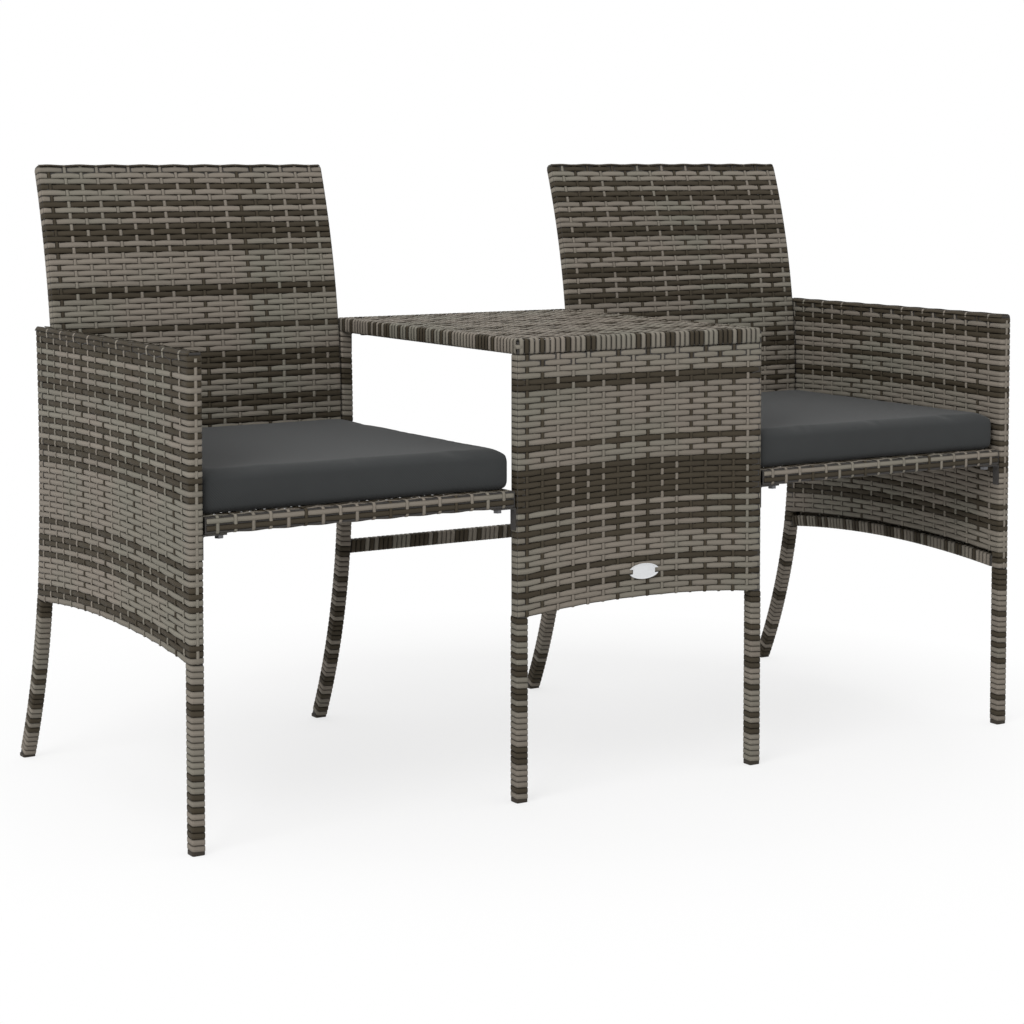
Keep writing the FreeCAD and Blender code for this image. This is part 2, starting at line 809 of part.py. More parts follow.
def main():
    os.makedirs("parts", exist_ok=True)

    save_pair("{}_arm_front_leg", front_leg(arm_outer, arm_leg_top))
    save_pair("{}_arm_rear_leg", rear_leg(arm_outer, arm_leg_top))
    save_pair("{}_arm_top_rail", arm_top_rail())
    save_pair("{}_arm_arch_rail", arm_arch_rail())
    save_pair("{}_arm_weave", arm_weave())

    save_pair("table_{}_front_leg", front_leg(table_outer, table_leg_top))
    save_pair("table_{}_rear_leg", rear_leg(table_outer, table_underside))
    save("table_panel_rail", table_panel_rail())
    save("table_arch_rail", table_arch_rail())
    save("table_stretcher", tube(between_table_legs_x, *stretcher_ranges(0.0), 0))
    save("table_front_weave", table_weave())
    save("table_top_front_rail", table_front_rail())
    save("table_top_rear_rail", table_rear_rail())
    save_pair("table_top_{}_rail", table_side_rail())
    save("table_top_brace", tube(table_brace_x, table_brace_y, table_brace_z, 0))
    save("table_top_weave", table_top_weave())
    save("table_edge_binding", table_edge_binding())

    save_pair("{}_back_outer_stile", back_stile(outer_stile_x))
    save_pair("{}_back_inner_stile", back_stile(inner_stile_x))
    save_pair("{}_back_bottom_bar", back_bar(back_bars[0]))
    save_pair("{}_back_top_bar", back_bar(back_bars[1]))
    save_pair("{}_back_weave", back_weave())
    save_group("back_frame_bindings", both_sides(back_bindings()))

    save_pair("{}_seat_front_rail", seat_cross_rail(seat_front_y))
    save_pair("{}_seat_rear_rail", seat_cross_rail(seat_rear_y))
    save_pair("{}_seat_outer_rail", tube(seat_outer_x, seat_side_y, seat_rail_z, 1))
    save_pair("{}_seat_inner_rail", tube(seat_inner_x, seat_side_y, seat_rail_z, 1))
    save_pair("{}_seat_brace", tube(seat_brace_x, seat_side_y, seat_brace_z, 1))
    save_pair("{}_seat_weave", seat_weave())

    cover = cushion_solid(0.0).cut(cushion_solid(cover_thickness))
    save_pair("{}_cushion_cover", cover)
    save_pair("{}_cushion_foam", cushion_solid(cover_thickness + foam_gap))

    save_group("front_foot_caps", both_sides([front_cap(arm_outer), front_cap(table_outer)]))
    save_group("rear_foot_caps", both_sides([rear_cap(arm_outer), rear_cap(table_outer)]))
    front_bindings = [front_binding(arm_outer, arm_arch_height)]
    front_bindings.append(front_binding(table_outer, table_arch_height))
    save_group("front_leg_bindings", both_sides(front_bindings))
    rear_bindings = [rear_binding(arm_outer, arm_arch_height), table_rear_binding()]
    save_group("rear_leg_bindings", both_sides(rear_bindings))
    rail_bindings = both_sides([arm_arch_binding()]) + [table_arch_binding(), stretcher_binding()]
    save_group("rail_bindings", rail_bindings)

    brackets = [bracket(*place).cut(left_bores) for place in left_brackets]
    save_group("corner_brackets", both_sides(brackets))
    save_group("short_bolts", both_sides([bolt(*seat, short_length) for seat in short_bolts]))
    long_bolts = [bolt(*seat, back_length) for seat in back_bolts]
    long_bolts += [bolt(*seat, table_length) for seat in table_bolts]
    save_group("long_bolts", both_sides(long_bolts))


main()
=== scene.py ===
import json
import math
import random

import bpy
import numpy as np
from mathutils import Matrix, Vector


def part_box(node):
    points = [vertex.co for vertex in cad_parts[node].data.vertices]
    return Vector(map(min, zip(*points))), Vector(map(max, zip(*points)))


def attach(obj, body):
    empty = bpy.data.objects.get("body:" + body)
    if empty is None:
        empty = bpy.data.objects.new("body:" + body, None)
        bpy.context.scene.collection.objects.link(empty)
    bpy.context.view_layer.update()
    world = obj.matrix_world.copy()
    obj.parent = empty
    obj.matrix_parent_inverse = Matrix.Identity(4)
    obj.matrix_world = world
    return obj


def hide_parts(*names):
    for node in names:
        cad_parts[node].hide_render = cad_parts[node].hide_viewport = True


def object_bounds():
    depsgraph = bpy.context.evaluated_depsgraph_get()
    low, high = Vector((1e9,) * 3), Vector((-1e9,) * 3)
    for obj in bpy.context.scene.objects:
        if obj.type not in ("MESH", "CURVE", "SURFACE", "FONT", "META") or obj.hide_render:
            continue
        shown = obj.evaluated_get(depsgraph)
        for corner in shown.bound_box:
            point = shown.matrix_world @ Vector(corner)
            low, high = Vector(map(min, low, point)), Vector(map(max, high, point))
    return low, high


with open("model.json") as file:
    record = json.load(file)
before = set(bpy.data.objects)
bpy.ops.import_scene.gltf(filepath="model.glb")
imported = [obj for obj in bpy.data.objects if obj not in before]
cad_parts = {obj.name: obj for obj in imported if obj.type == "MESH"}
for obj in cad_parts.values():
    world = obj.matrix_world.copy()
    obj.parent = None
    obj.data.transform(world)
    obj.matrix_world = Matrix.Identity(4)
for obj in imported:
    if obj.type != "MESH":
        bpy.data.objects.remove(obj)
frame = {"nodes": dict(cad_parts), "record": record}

bl_info = {
    "name": "Woven garden bench",
    "version": (1, 0, 0),
    "blender": (4, 5, 0),
    "location": "3D View > Sidebar > Bench",
    "description": "Dresses a two-seat woven bench with a table between the seats",
    "category": "Object",
}

CAD_LOW, CAD_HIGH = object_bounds()
MM = 0.001
# Heights and widths are in millimetres here, with y measured from the bench's front plane
FRONT = CAD_LOW.y / MM


def limits(node, axis):
    """Where a solid starts and ends along an axis."""
    low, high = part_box(node)
    shift = FRONT if axis == 1 else 0.0
    return low[axis] / MM - shift, high[axis] / MM - shift


# Places that the solids give
ARM_OUTER = limits("left_arm_weave", 0)[0]
ARM_BOTTOM, ARM_TOP = limits("left_arm_weave", 2)
LEG_TUBE_X = limits("left_arm_front_leg", 0)
LEG_TUBE_Y = limits("left_arm_front_leg", 1)
BACK_X = limits("left_back_weave", 0)
BACK_Z = limits("left_back_weave", 2)
SEAT_X = limits("left_seat_weave", 0)
SEAT_Y = limits("left_seat_weave", 1)
SEAT_Z = limits("left_seat_weave", 2)
TABLE_X = limits("table_front_weave", 0)
TABLE_BOTTOM, TABLE_UNDERSIDE = limits("table_front_weave", 2)
TABLE_TOP = limits("table_top_weave", 2)[1]
TABLE_Y = limits("table_edge_binding", 1)
CAP_BASE = limits("left_arm_front_leg", 2)[0]
STRETCHER_Y = limits("table_stretcher", 1)
STRETCHER_Z = limits("table_stretcher", 2)

# Curves of the rear legs, the backs and the arched edges
LEG_SECTION = 16.8
STRAND = 0.9
REAR_LEG_FRONT = 486.5
WAIST = 450.0
NECK_RADIUS = 2300.0
SHIN_RADIUS = 1700.0
FOOT_RADIUS = 850.0
SHIN_ANGLE = math.asin(150.0 / SHIN_RADIUS)
FOOT_Y = REAR_LEG_FRONT + SHIN_RADIUS + math.cos(SHIN_ANGLE) * (FOOT_RADIUS - SHIN_RADIUS)
FOOT_Z = WAIST + math.sin(SHIN_ANGLE) * (FOOT_RADIUS - SHIN_RADIUS)
BACK_FRONT = 486.0
BACK_BEND = 486.0
BACK_RADIUS = 1023.0
BACK_DEEP = 15.0
SEAT_DEEP = 21.8
ARM_RISE = 14.0
TABLE_RISE = 10.5
REAR_BULGE = 4.0
ARCH_TALL = 17.8
ARCH_DEEP = 13.8
WEAVE = 2.4
LEG_PLACES = [ARM_OUTER + LEG_SECTION / 2, TABLE_X[0] + LEG_SECTION / 2]
LEG_PLACES += [-x for x in reversed(LEG_PLACES)]


def leg_y(depth, z):
    """Where the line that lies so deep behind a rear leg's front face stands at a height."""
    if z < FOOT_Z - (FOOT_RADIUS - depth) * math.sin(SHIN_ANGLE):
        return FOOT_Y - math.sqrt((FOOT_RADIUS - depth) ** 2 - (z - FOOT_Z) ** 2)
    radius = SHIN_RADIUS if z < WAIST else NECK_RADIUS
    return REAR_LEG_FRONT + radius - math.sqrt((radius - depth) ** 2 - (z - WAIST) ** 2)


def arch(at, span, height, rise):
    """Height of an arched lower edge, level beyond its span."""
    chord = span[1] - span[0]
    radius = (chord ** 2 / 4 + rise ** 2) / (2 * rise)
    reach = np.clip(np.asarray(at, float) - sum(span) / 2, -chord / 2, chord / 2)
    return height + rise - radius + np.sqrt(radius ** 2 - reach ** 2)


# Settings that a user would change

def length_setting(title, text, value):
    return bpy.props.FloatProperty(name=title, description=text, default=value, unit="LENGTH")


def colour_setting(title, text, value):
    return bpy.props.FloatVectorProperty(
        name=title, description=text, subtype="COLOR", default=value, min=0.0, max=1.0)


class BenchSizes(bpy.types.PropertyGroup):
    row_share: bpy.props.FloatProperty(
        name="Row cover", description="Share of the row pitch that a strand covers",
        default=1.09, min=0.5, max=1.2)
    warp_width: length_setting("Upright width", "Width of the upright strands", 0.0058)
    strand_thickness: length_setting("Strand thickness", "Thickness of a flat strand", 0.0011)
    row_wave: length_setting(
        "Row wave", "How far a row rises over and dips under the uprights", 0.0007)
    warp_wave: length_setting(
        "Upright wave", "How far an upright rises over and dips under the rows", 0.0005)
    turn_pitch: length_setting(
        "Turn pitch", "Distance between turns of strand round a tube", 0.0078)
    loop_pitch: length_setting(
        "Edge loop pitch", "Distance between the loops on the table's edge", 0.0080)


class BenchColours(bpy.types.PropertyGroup):
    light_strand: colour_setting(
        "Light strand", "Taupe grey of the light strands", (0.217, 0.190, 0.158))
    light_drift: colour_setting(
        "Light strand drift", "Greener grey that the light strands drift to", (0.199, 0.186, 0.152))
    dark_strand: colour_setting("Dark strand", "Brown of the dark strands", (0.056, 0.0460, 0.0320))
    cushion: colour_setting("Cushion", "Charcoal of the cushion covers", (0.038, 0.0403, 0.0408))
    paint: colour_setting("Tube paint", "Powder coat on the steel", (0.035, 0.032, 0.030))
    cap: colour_setting("Foot cap", "Moulded plastic of the foot caps", (0.036, 0.030, 0.023))
    bolt: colour_setting("Bolt", "Plated steel of the bolts", (0.16, 0.16, 0.17))
    plate: colour_setting("Plate", "Blank plate on the table's front", (0.80, 0.81, 0.82))


def sizes(name):
    """A length setting in millimetres."""
    return getattr(bpy.context.scene.bench_sizes, name) / MM


def row_share():
    return bpy.context.scene.bench_sizes.row_share


def colour(name):
    return tuple(getattr(bpy.context.scene.bench_colours, name)) + (1.0,)


# Shader maths

class Socket:
    """A socket whose arithmetic adds Math nodes."""

    def __init__(self, tree, output):
        self.tree = tree
        self.output = output

    def math(self, operation, *others):
        return node(self.tree, "ShaderNodeMath", {"operation": operation}, [self, *others])

    def __add__(self, other):
        return self.math("ADD", other)

    def __sub__(self, other):
        return self.math("SUBTRACT", other)

    def __mul__(self, other):
        return self.math("MULTIPLY", other)

    def __rsub__(self, other):
        return node(self.tree, "ShaderNodeMath", {"operation": "SUBTRACT"}, [other, self])

    __radd__ = __add__
    __rmul__ = __mul__

    def clamped(self, low, high):
        return node(self.tree, "ShaderNodeClamp", {}, [self, low, high])


def node(tree, kind, settings, values, output=0):
    """Adds a node: its settings first, then the values or links of its sockets."""
    made = tree.nodes.new(kind)
    for name, value in settings.items():
        setattr(made, name, value)
    items = values.items() if isinstance(values, dict) else enumerate(values)
    for key, value in items:
        if isinstance(value, Socket):
            tree.links.new(value.output, made.inputs[key])
        elif value is not None:
            made.inputs[key].default_value = value
    return Socket(tree, made.outputs[output])


def blend(tree, share, first, second, kind="MIX"):
    """Mixes two colours."""
    settings = {"data_type": "RGBA", "blend_type": kind}
    return node(tree, "ShaderNodeMix", settings, {0: share, 6: first, 7: second}, 2)


def toned(tree, base, level):
    """A colour times a brightness."""
    grey = node(tree, "ShaderNodeCombineColor", {}, [level, level, level])
    return blend(tree, 1.0, base, grey, "MULTIPLY")


def noise(tree, vector, scale, detail):
    values = {"Vector": vector, "Scale": scale, "Detail": detail}
    return node(tree, "ShaderNodeTexNoise", {}, values)


def object_place(tree):
    return node(tree, "ShaderNodeTexCoord", {}, [], 3)


def bump(tree, height, strength, distance):
    values = {"Height": height, "Strength": strength, "Distance": distance}
    return node(tree, "ShaderNodeBump", {}, values)


def material(name, fill):
    """A node material: fill(tree) gives the values and links of its shader."""
    made = bpy.data.materials.get(name)
    if made is None:
        made = bpy.data.materials.new(name)
        made.use_nodes = True
        tree = made.node_tree
        shader = tree.nodes["Principled BSDF"]
        for key, value in fill(tree).items():
            if isinstance(value, Socket):
                tree.links.new(value.output, shader.inputs[key])
            else:
                shader.inputs[key].default_value = value
    return made


# Strand: grooves across it, where the painted shade along its edges starts and how dark that
# painted shade is
GROOVES = 3
PAINTED_SHADE_START = 0.44
PAINTED_GAP_SHADE = 0.42


def strand_finish(tree):
    """Extruded plastic strand: two tones, drifting hue and fine grooves along it, with painted
    shade in the grooves and on the edges between strands.
    """
    tone = node(tree, "ShaderNodeAttribute", {"attribute_name": "tone"}, [], 2)
    shade = node(tree, "ShaderNodeAttribute", {"attribute_name": "shade"}, [], 2)
    spot = node(tree, "ShaderNodeUVMap", {"uv_map": "strand"}, [])
    across = node(tree, "ShaderNodeSeparateXYZ", {}, [spot], 1)
    along = node(tree, "ShaderNodeSeparateXYZ", {}, [spot], 0)
    place = object_place(tree)
    groove = (across * (GROOVES * 2 * math.pi)).math("COSINE").clamped(0.0, 1.0).math("POWER", 5.0)
    off_middle = (across - 0.5).math("ABSOLUTE") * 2.0
    # Painted shade: the edges of each strand are darkened in its colour for the shade in the gaps
    # between neighbouring strands
    edge = ((off_middle - PAINTED_SHADE_START) * 2.6).clamped(0.0, 1.0).math("POWER", 1.3)
    lane = node(tree, "ShaderNodeCombineXYZ", {}, [along * 9.0, across * 14.0, shade * 50.0])
    streak = noise(tree, lane, 1.0, 2.0)
    drift = noise(tree, place, 7.0, 2.0)
    drifted = ((drift - 0.45) * 5.0).clamped(0.0, 1.0)
    light = blend(tree, drifted, colour("light_strand"), colour("light_drift"))
    body = blend(tree, tone, light, colour("dark_strand"))
    # The colour's level: random tone per strand and lengthwise streaks, with painted shade where
    # the grooves and the strand's edges are darkened
    level = (0.84 + shade * 0.18 + streak * 0.26 - groove * 0.10) * (1.0 - edge * PAINTED_GAP_SHADE)
    relief = 0.3 * streak - groove * 0.35 - off_middle * off_middle * 1.3
    return {
        "Base Color": toned(tree, body, level),
        "Roughness": 0.50 + streak * 0.16 + groove * 0.10,
        "Specular IOR Level": 0.08,
        "Normal": bump(tree, relief, 0.5, 0.0006),
    }


def fabric_finish(tree):
    """Plain woven polyester: crossed threads with faint slubs."""
    place = object_place(tree)
    bands = {"wave_type": "BANDS", "bands_direction": "X", "wave_profile": "SIN"}
    threads = {"Vector": place, "Scale": 260.0, "Distortion": 0.6}
    warp = node(tree, "ShaderNodeTexWave", bands, threads, 1)
    bands, threads = dict(bands, bands_direction="DIAGONAL"), dict(threads, Scale=180.0)
    weft = node(tree, "ShaderNodeTexWave", bands, threads, 1)
    slub = noise(tree, place, 34.0, 4.0)
    cloud = noise(tree, place, 5.0, 2.0)
    level = 0.80 + 0.18 * slub + 0.16 * cloud + 0.05 * warp * weft
    return {
        "Base Color": toned(tree, colour("cushion"), level),
        "Roughness": 0.86 + 0.08 * slub,
        "Specular IOR Level": 0.20,
        "Sheen Weight": 0.12,
        "Normal": bump(tree, warp * 0.5 + weft * 0.5 + slub * 0.6, 0.18, 0.0006),
    }


def paint_finish(tree):
    """Powder coat with a fine orange peel."""
    place = object_place(tree)
    peel = noise(tree, place, 900.0, 2.0)
    dust = noise(tree, place, 12.0, 4.0)
    return {
        "Base Color": blend(tree, dust * 0.5, colour("paint"), (0.060, 0.055, 0.050, 1.0)),
        "Roughness": 0.55 + 0.14 * dust,
        "Specular IOR Level": 0.30,
        "Normal": bump(tree, peel, 0.15, 0.0003),
    }


def cap_finish(tree):
    """Moulded plastic, scuffed towards grey."""
    place = object_place(tree)
    grain = noise(tree, place, 700.0, 2.0)
    scuff = noise(tree, place, 60.0, 5.0)
    return {
        "Base Color": blend(tree, scuff * 0.5, colour("cap"), (0.055, 0.047, 0.037, 1.0)),
        "Roughness": 0.50 + 0.20 * scuff,
        "Specular IOR Level": 0.15,
        "Normal": bump(tree, grain, 0.20, 0.0003),
    }


def bolt_finish(tree):
    """Dark plated steel with faint cloudy plating."""
    place = object_place(tree)
    cloud = noise(tree, place, 120.0, 4.0)
    return {
        "Base Color": blend(tree, cloud * 0.6, colour("bolt"), (0.09, 0.09, 0.09, 1.0)),
        "Metallic": 0.85,
        "Roughness": 0.30 + 0.20 * cloud,
        "Normal": bump(tree, cloud, 0.12, 0.0003),
    }


def plate_finish(tree):
    """Satin white plate with faint brushing."""
    place = object_place(tree)
    stretch = node(tree, "ShaderNodeMapping", {}, {"Vector": place, "Scale": (40.0, 400.0, 1400.0)})
    brush = noise(tree, stretch, 1.0, 3.0)
    return {
        "Base Color": blend(tree, brush * 0.5, colour("plate"), (0.55, 0.56, 0.58, 1.0)),
        "Metallic": 0.35,
        "Roughness": 0.30 + 0.12 * brush,
        "Normal": bump(tree, brush, 0.06, 0.0002),
    }


FINISHES = {
    "strand": ("woven_strand", strand_finish),
    "cover": ("cushion_fabric", fabric_finish),
    "tube": ("powder_coat", paint_finish),
    "cap": ("foot_cap_plastic", cap_finish),
    "bolt": ("plated_steel", bolt_finish),
    "plate": ("blank_plate", plate_finish),
}


def finish_of(slot):
    return material(*FINISHES[slot])


# Placing pieces on the frame

def settle(piece, name, slot, body, *nodes):
    """Names a finished piece, gives it its finish and sets it on its body."""
    piece.name = name
    piece.data.name = name
    piece.data.materials.clear()
    piece.data.materials.append(finish_of(slot))
    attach(piece, body)
    # The blank plate has no slot in the record
    if nodes:
        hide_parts(*nodes)


def clear_selection():
    bpy.ops.object.select_all(action="DESELECT")


def only(piece):
    clear_selection()
    piece.select_set(True)
    bpy.context.view_layer.objects.active = piece


# Strands

X_WAY, Y_WAY, Z_WAY = np.eye(3)
# Section of a strand in shares of its width and thickness: a crowned top and a flat base
PROFILE = np.array([
    (-0.5, -0.25), (-0.27, 0.5), (0.27, 0.5), (0.5, -0.25), (0.37, -0.5), (-0.37, -0.5)])
SIDES = len(PROFILE)
# The radius at which a strand turns round a tube, and how far its end reaches back behind it
ROUND = 2.6
TURN_BACK = 6.0
# How far a row wanders, over what length, and how far an upright is out of its place
DRIFT = 0.25
DRIFT_RUN = 37.0
JITTER = 0.3
SHEET_JITTER = 0.35
# How far an upright stands off the middle of its weave, and its wave past the last row
WARP_LIFT = 0.1
LAST_SWING = 0.3
# Parts that a row has between two uprights, and an upright between two rows
ROW_PARTS = 4
WARP_PARTS = 2


class Route:
    """A flat path with round corners, and the way that it faces on its right."""

    def __init__(self, corners, radius, steps=3):
        corners = [np.array(corner, float) for corner in corners]
        spots = [corners[0]]
        ways = [corners[1] - corners[0]]
        for before, corner, after in zip(corners, corners[1:], corners[2:]):
            back = (before - corner) / np.linalg.norm(before - corner)
            onward = (after - corner) / np.linalg.norm(after - corner)
            centre = corner + (back + onward) * radius
            for turn in np.linspace(0.0, math.pi / 2, steps + 1):
                cos, sin = math.cos(turn), math.sin(turn)
                spots.append(centre - radius * (onward * cos + back * sin))
                ways.append(onward * sin - back * cos)
        spots.append(corners[-1])
        ways.append(corners[-1] - corners[-2])
        self.spots = np.array(spots)
        ways = np.array(ways) / np.linalg.norm(ways, axis=1)[:, None]
        self.faces = np.stack([ways[:, 1], -ways[:, 0]], 1)
        gaps = np.linalg.norm(np.diff(self.spots, axis=0), axis=1)
        self.run = np.concatenate([[0.0], np.cumsum(gaps)])

    def at(self, run):
        run = np.asarray(run, float)
        spot = np.stack([np.interp(run, self.run, self.spots[:, n]) for n in (0, 1)], -1)
        face = np.stack([np.interp(run, self.run, self.faces[:, n]) for n in (0, 1)], -1)
        return spot, face / np.linalg.norm(face, axis=-1)[..., None]

    def corner(self, n, end=True, steps=3):
        """The run where the round of corner n ends or starts."""
        return self.run[1 + n * (steps + 1) + (steps if end else 0)]


def eased(run, knots, heights):
    """Height between crossings, eased as a springy strand lies."""
    knots, heights = np.asarray(knots, float), np.asarray(heights, float)
    n = np.clip(np.searchsorted(knots, run, side="right") - 1, 0, len(knots) - 2)
    share = np.clip((run - knots[n]) / (knots[n + 1] - knots[n]), 0.0, 1.0)
    return heights[n] + (heights[n + 1] - heights[n]) * (1 - np.cos(math.pi * share)) / 2


def stops(knots, parts, *more):
    """Runs along a strand: each stretch between knots in equal parts, and any more."""
    shares = np.arange(parts) / parts
    knots = np.asarray(knots, float)
    inner = (knots[:-1, None] + np.diff(knots)[:, None] * shares).ravel()
    runs = np.sort(np.concatenate([inner, knots[-1:], *more]))
    return runs[np.concatenate([[True], np.diff(runs) > 0.05])]


class Strands:
    """Flat strands, each swept along its own way, that make one piece. Side -1 mirrors them."""

    def __init__(self, seed, side=1.0):
        self.draw = random.Random(seed)
        self.flip = np.array([side, 1.0, 1.0])
        self.points, self.quads, self.tones, self.shades, self.spots = [], [], [], [], []
        self.count = 0

    def add(self, path, outward, width, tone, shade=None):
        path, outward = np.asarray(path) * self.flip, np.asarray(outward) * self.flip
        n = len(path)
        along = np.gradient(path, axis=0)
        along /= np.linalg.norm(along, axis=1)[:, None]
        across = np.cross(outward, along)
        across /= np.linalg.norm(across, axis=1)[:, None]
        above = np.cross(along, across)
        thick = sizes("strand_thickness")
        wide = PROFILE[:, 0] * width
        tall = PROFILE[:, 1] * thick
        rings = path[:, None] + across[:, None] * wide[:, None] + above[:, None] * tall[:, None]
        self.points.append(rings.reshape(-1, 3))
        ring = np.arange(SIDES)
        following = (ring + 1) % SIDES
        starts = self.count + SIDES * np.arange(n - 1)[:, None]
        onward = starts + SIDES
        sides = [starts + ring, onward + ring, onward + following, starts + following]
        sides = np.stack(sides, -1).reshape(-1, 4)
        last = self.count + SIDES * (n - 1)
        ends = np.array([[0, 1, 2, 3], [0, 3, 4, 5]])
        self.quads.append(np.concatenate([sides, self.count + ends, last + ends[:, ::-1]]))
        run = np.concatenate([[0.0], np.cumsum(np.linalg.norm(np.diff(path, axis=0), axis=1))]) * MM
        spot = np.stack(np.broadcast_arrays(run[:, None], PROFILE[:, 0] + 0.5), -1).reshape(-1, 2)
        self.spots.append(spot)
        shade = self.draw.random() if shade is None else shade
        for kept, value in ((self.tones, tone), (self.shades, shade)):
            value = np.repeat(np.broadcast_to(np.asarray(value, float), n - 1), SIDES)
            kept.append(np.concatenate([value, value[[0, 0, -1, -1]]]))
        self.count += n * SIDES

    def drift(self, runs):
        """How far the next row wanders from its line."""
        return DRIFT * np.sin(runs / DRIFT_RUN + self.draw.uniform(0.0, 6.28))

    def made(self):
        """The strands as one mesh object at the origin."""
        points = np.concatenate(self.points)
        points = (points + np.array([0.0, FRONT, 0.0])) * MM
        quads = np.concatenate(self.quads).astype(np.int32)
        mesh = bpy.data.meshes.new("strands")
        mesh.vertices.add(len(points))
        mesh.vertices.foreach_set("co", points.ravel())
        mesh.loops.add(quads.size)
        mesh.loops.foreach_set("vertex_index", quads.ravel())
        mesh.polygons.add(len(quads))
        mesh.polygons.foreach_set("loop_start", np.arange(len(quads), dtype=np.int32) * 4)
        mesh.update(calc_edges=True)
        for name, values in (("tone", self.tones), ("shade", self.shades)):
            layer = mesh.attributes.new(name, "FLOAT", "FACE")
            layer.data.foreach_set("value", np.concatenate(values).astype(np.float32))
        spots = np.concatenate(self.spots)[quads.ravel()]
        mesh.uv_layers.new(name="strand").data.foreach_set("uv", spots.ravel())
        mesh.shade_smooth()
        piece = bpy.data.objects.new("strands", mesh)
        bpy.context.scene.collection.objects.link(piece)
        return piece

    def settle(self, name, node_name):
        settle(self.made(), name, "strand", "bench", node_name)


def yarn(order):
    """Tones of a colour order such as 3L D 2L: 0 for light and 1 for dark."""
    tones = []
    for word in order.split():
        tones += [1.0 if word[-1] == "D" else 0.0] * int(word[:-1] or 1)
    return tones


def tone_at(tones, n):
    return tones[n % len(tones)]


def waves(rise, n, count):
    """Heights of strand n where it goes over and under the ones that cross it."""
    return [rise if (n + j) % 2 else -rise for j in range(count)]


def level(ways):
    """Ways in plan as level ways."""
    return np.column_stack([ways, np.zeros(len(ways))])


# Colour orders of the rows, from the top down, and of the uprights, from the outer side in
LEFT_BACK_ROWS = yarn("3L D 2L D L D L 3D L D 6L 2D 5L D 4L 3D L D 3L 2D 2L D 3L D 3L")
LEFT_BACK_WARPS = yarn("D 8L D 2L 2D 4L")
RIGHT_BACK_ROWS = yarn(
    "D 2L D L 2D 2L D 2L 2D 3L D 2L 2D L D L 2D 2L D 3L D L 2D 3L D 2L D 4L 2D 3L D 2L")
RIGHT_BACK_WARPS = yarn("L D L 2D L D L D 3L 2D L 2D L")
LEFT_ARM_ROWS = yarn("3D L D L D L 2D 2L D 2L D L D L 2D L D 10L D 2L 2D L D 5L 2D L")
LEFT_ARM_WARPS = yarn("L D 4L D 3L D 2L D 6L")
RIGHT_ARM_ROWS = yarn("D L 2D 2L D 2L D 3L 2D 5L D 2L D 2L 3D 6L D 2L 2D 4L 2D L")
RIGHT_ARM_WARPS = yarn("L D 8L D L 2D 6L")
TABLE_ROWS = yarn("4L 2D 9L D 3L 7D L D L D L D 4L D 2L D 3L")
TABLE_WARPS = yarn("2D 4L D L D 2L 4D 2L")
TOP_ROWS = yarn("3L D 5L 2D L D 6L D 4L D L 2D 7L D 3L 2D 5L D 2L D 6L D 2L D 4L")
TOP_WARPS = yarn("2L D 3L D 4L D 2L D L")
SEAT_ROWS = yarn("2L D 4L 2D 3L D 5L D L D 3L")
SEAT_WARPS = yarn("5L D 4L D 3L D 3L")
FRONT_LEG_TURNS = [
    yarn("3L D 2L 2D 8L D 2L D L D 2L 2D 2L")[::-1],
    yarn("D 2L D 2L D L 2D 2L 2D L D 6L 3D 4L D L")[::-1],
    yarn("2D 4L D L D 3L 2D 2L D 4L D L 2D 5L")[::-1],
    yarn("4D 3L D 3L D L D 2L D 5L D 2L D L")[::-1],
]
REAR_LEG_TURNS = [
    yarn("4L D L D 2L 2D 2L D L D 8L 3D"),
    yarn("L D L D 2L D 3L D L D L 3D L D 2L D L D 3L 2D 4L D 2L 2D 6L D 3L D 5L 2D L D 4L"),
    yarn("L 3D L D 8L 3D 4L 2D 6L D 3L D 2L 2D 5L D L D 4L 2D 3L"),
    yarn("2D L D 2L D 5L 2D 5L D 3L 2D 2L"),
]
RAIL_TURNS = yarn("4L D 3L 2D 2L D 5L D L 2D 3L D 2L 3D")
STRETCHER_TURNS = yarn("3D L D L 3D 4L 4D L D 4L 3D 2L D 4L D L D 3L 2D 4L D 3L")
EDGE_LOOPS = yarn("L D 2L D 4L D 3L 2D 8L D L D 3L 2D 3L 3D 3L 3D L D 4L")
LEFT_EDGE_LOOPS = yarn("2L D 2L D 6L D L D L D L 2D 3L D 2L D 3L 3D 2L D 2L D 2L D 8L 4D L D 7L")


# Arms

ARM_SPAN = (LEG_SECTION, leg_y(0.0, ARM_BOTTOM))
ARM_ROW_TOP = ARM_TOP - 4.0
ARM_MIDDLE = 250.0
# The upright behind which the rows' ends meet, and the rows below the inner side's edge
ARM_JOIN = 9
ARM_OPEN_ROWS = 3
# Uprights: the first one's place and its lean, and their pitch below and how it closes up
ARM_WARP_START = 22.0
ARM_WARP_LEAN = 9.0
ARM_WARP_PITCH = 24.7
ARM_WARP_CLOSE = 0.3
# How far the weave stands off the front leg, and its wave round the upright there
SLEEVE_FULL = 0.9
FACE_ROW_RISE = 0.6
FACE_LIFT = 0.45
FACE_WAVE = 0.55
FACE_WIDTH = 0.9
# A row's end behind a leg, and its least run from the last upright to the front corner
HOOK_END = 3.0
CORNER_RUN = 3.0
# Rows along the top rail: their runs round it, width and wave, what they leave free in front and
# behind, and the uprights' lift over them
RAIL_ROWS = (5.2, 12.4, 19.6)
RAIL_ROW_WIDTH = 7.3
RAIL_ROW_WAVE = 0.5
RAIL_ROW_FREE = (2.0, 1.0)
RAIL_LIFT = 0.7
# Steps inward and up by which an upright's end turns in behind an edge, how far each one faces
# down, and how far it still faces out
TUCK = ((0.5, -0.6, 0.8), (1.5, -0.2, 0.8), (2.3, 2.0, 0.1))
TUCK_FACE = 0.5


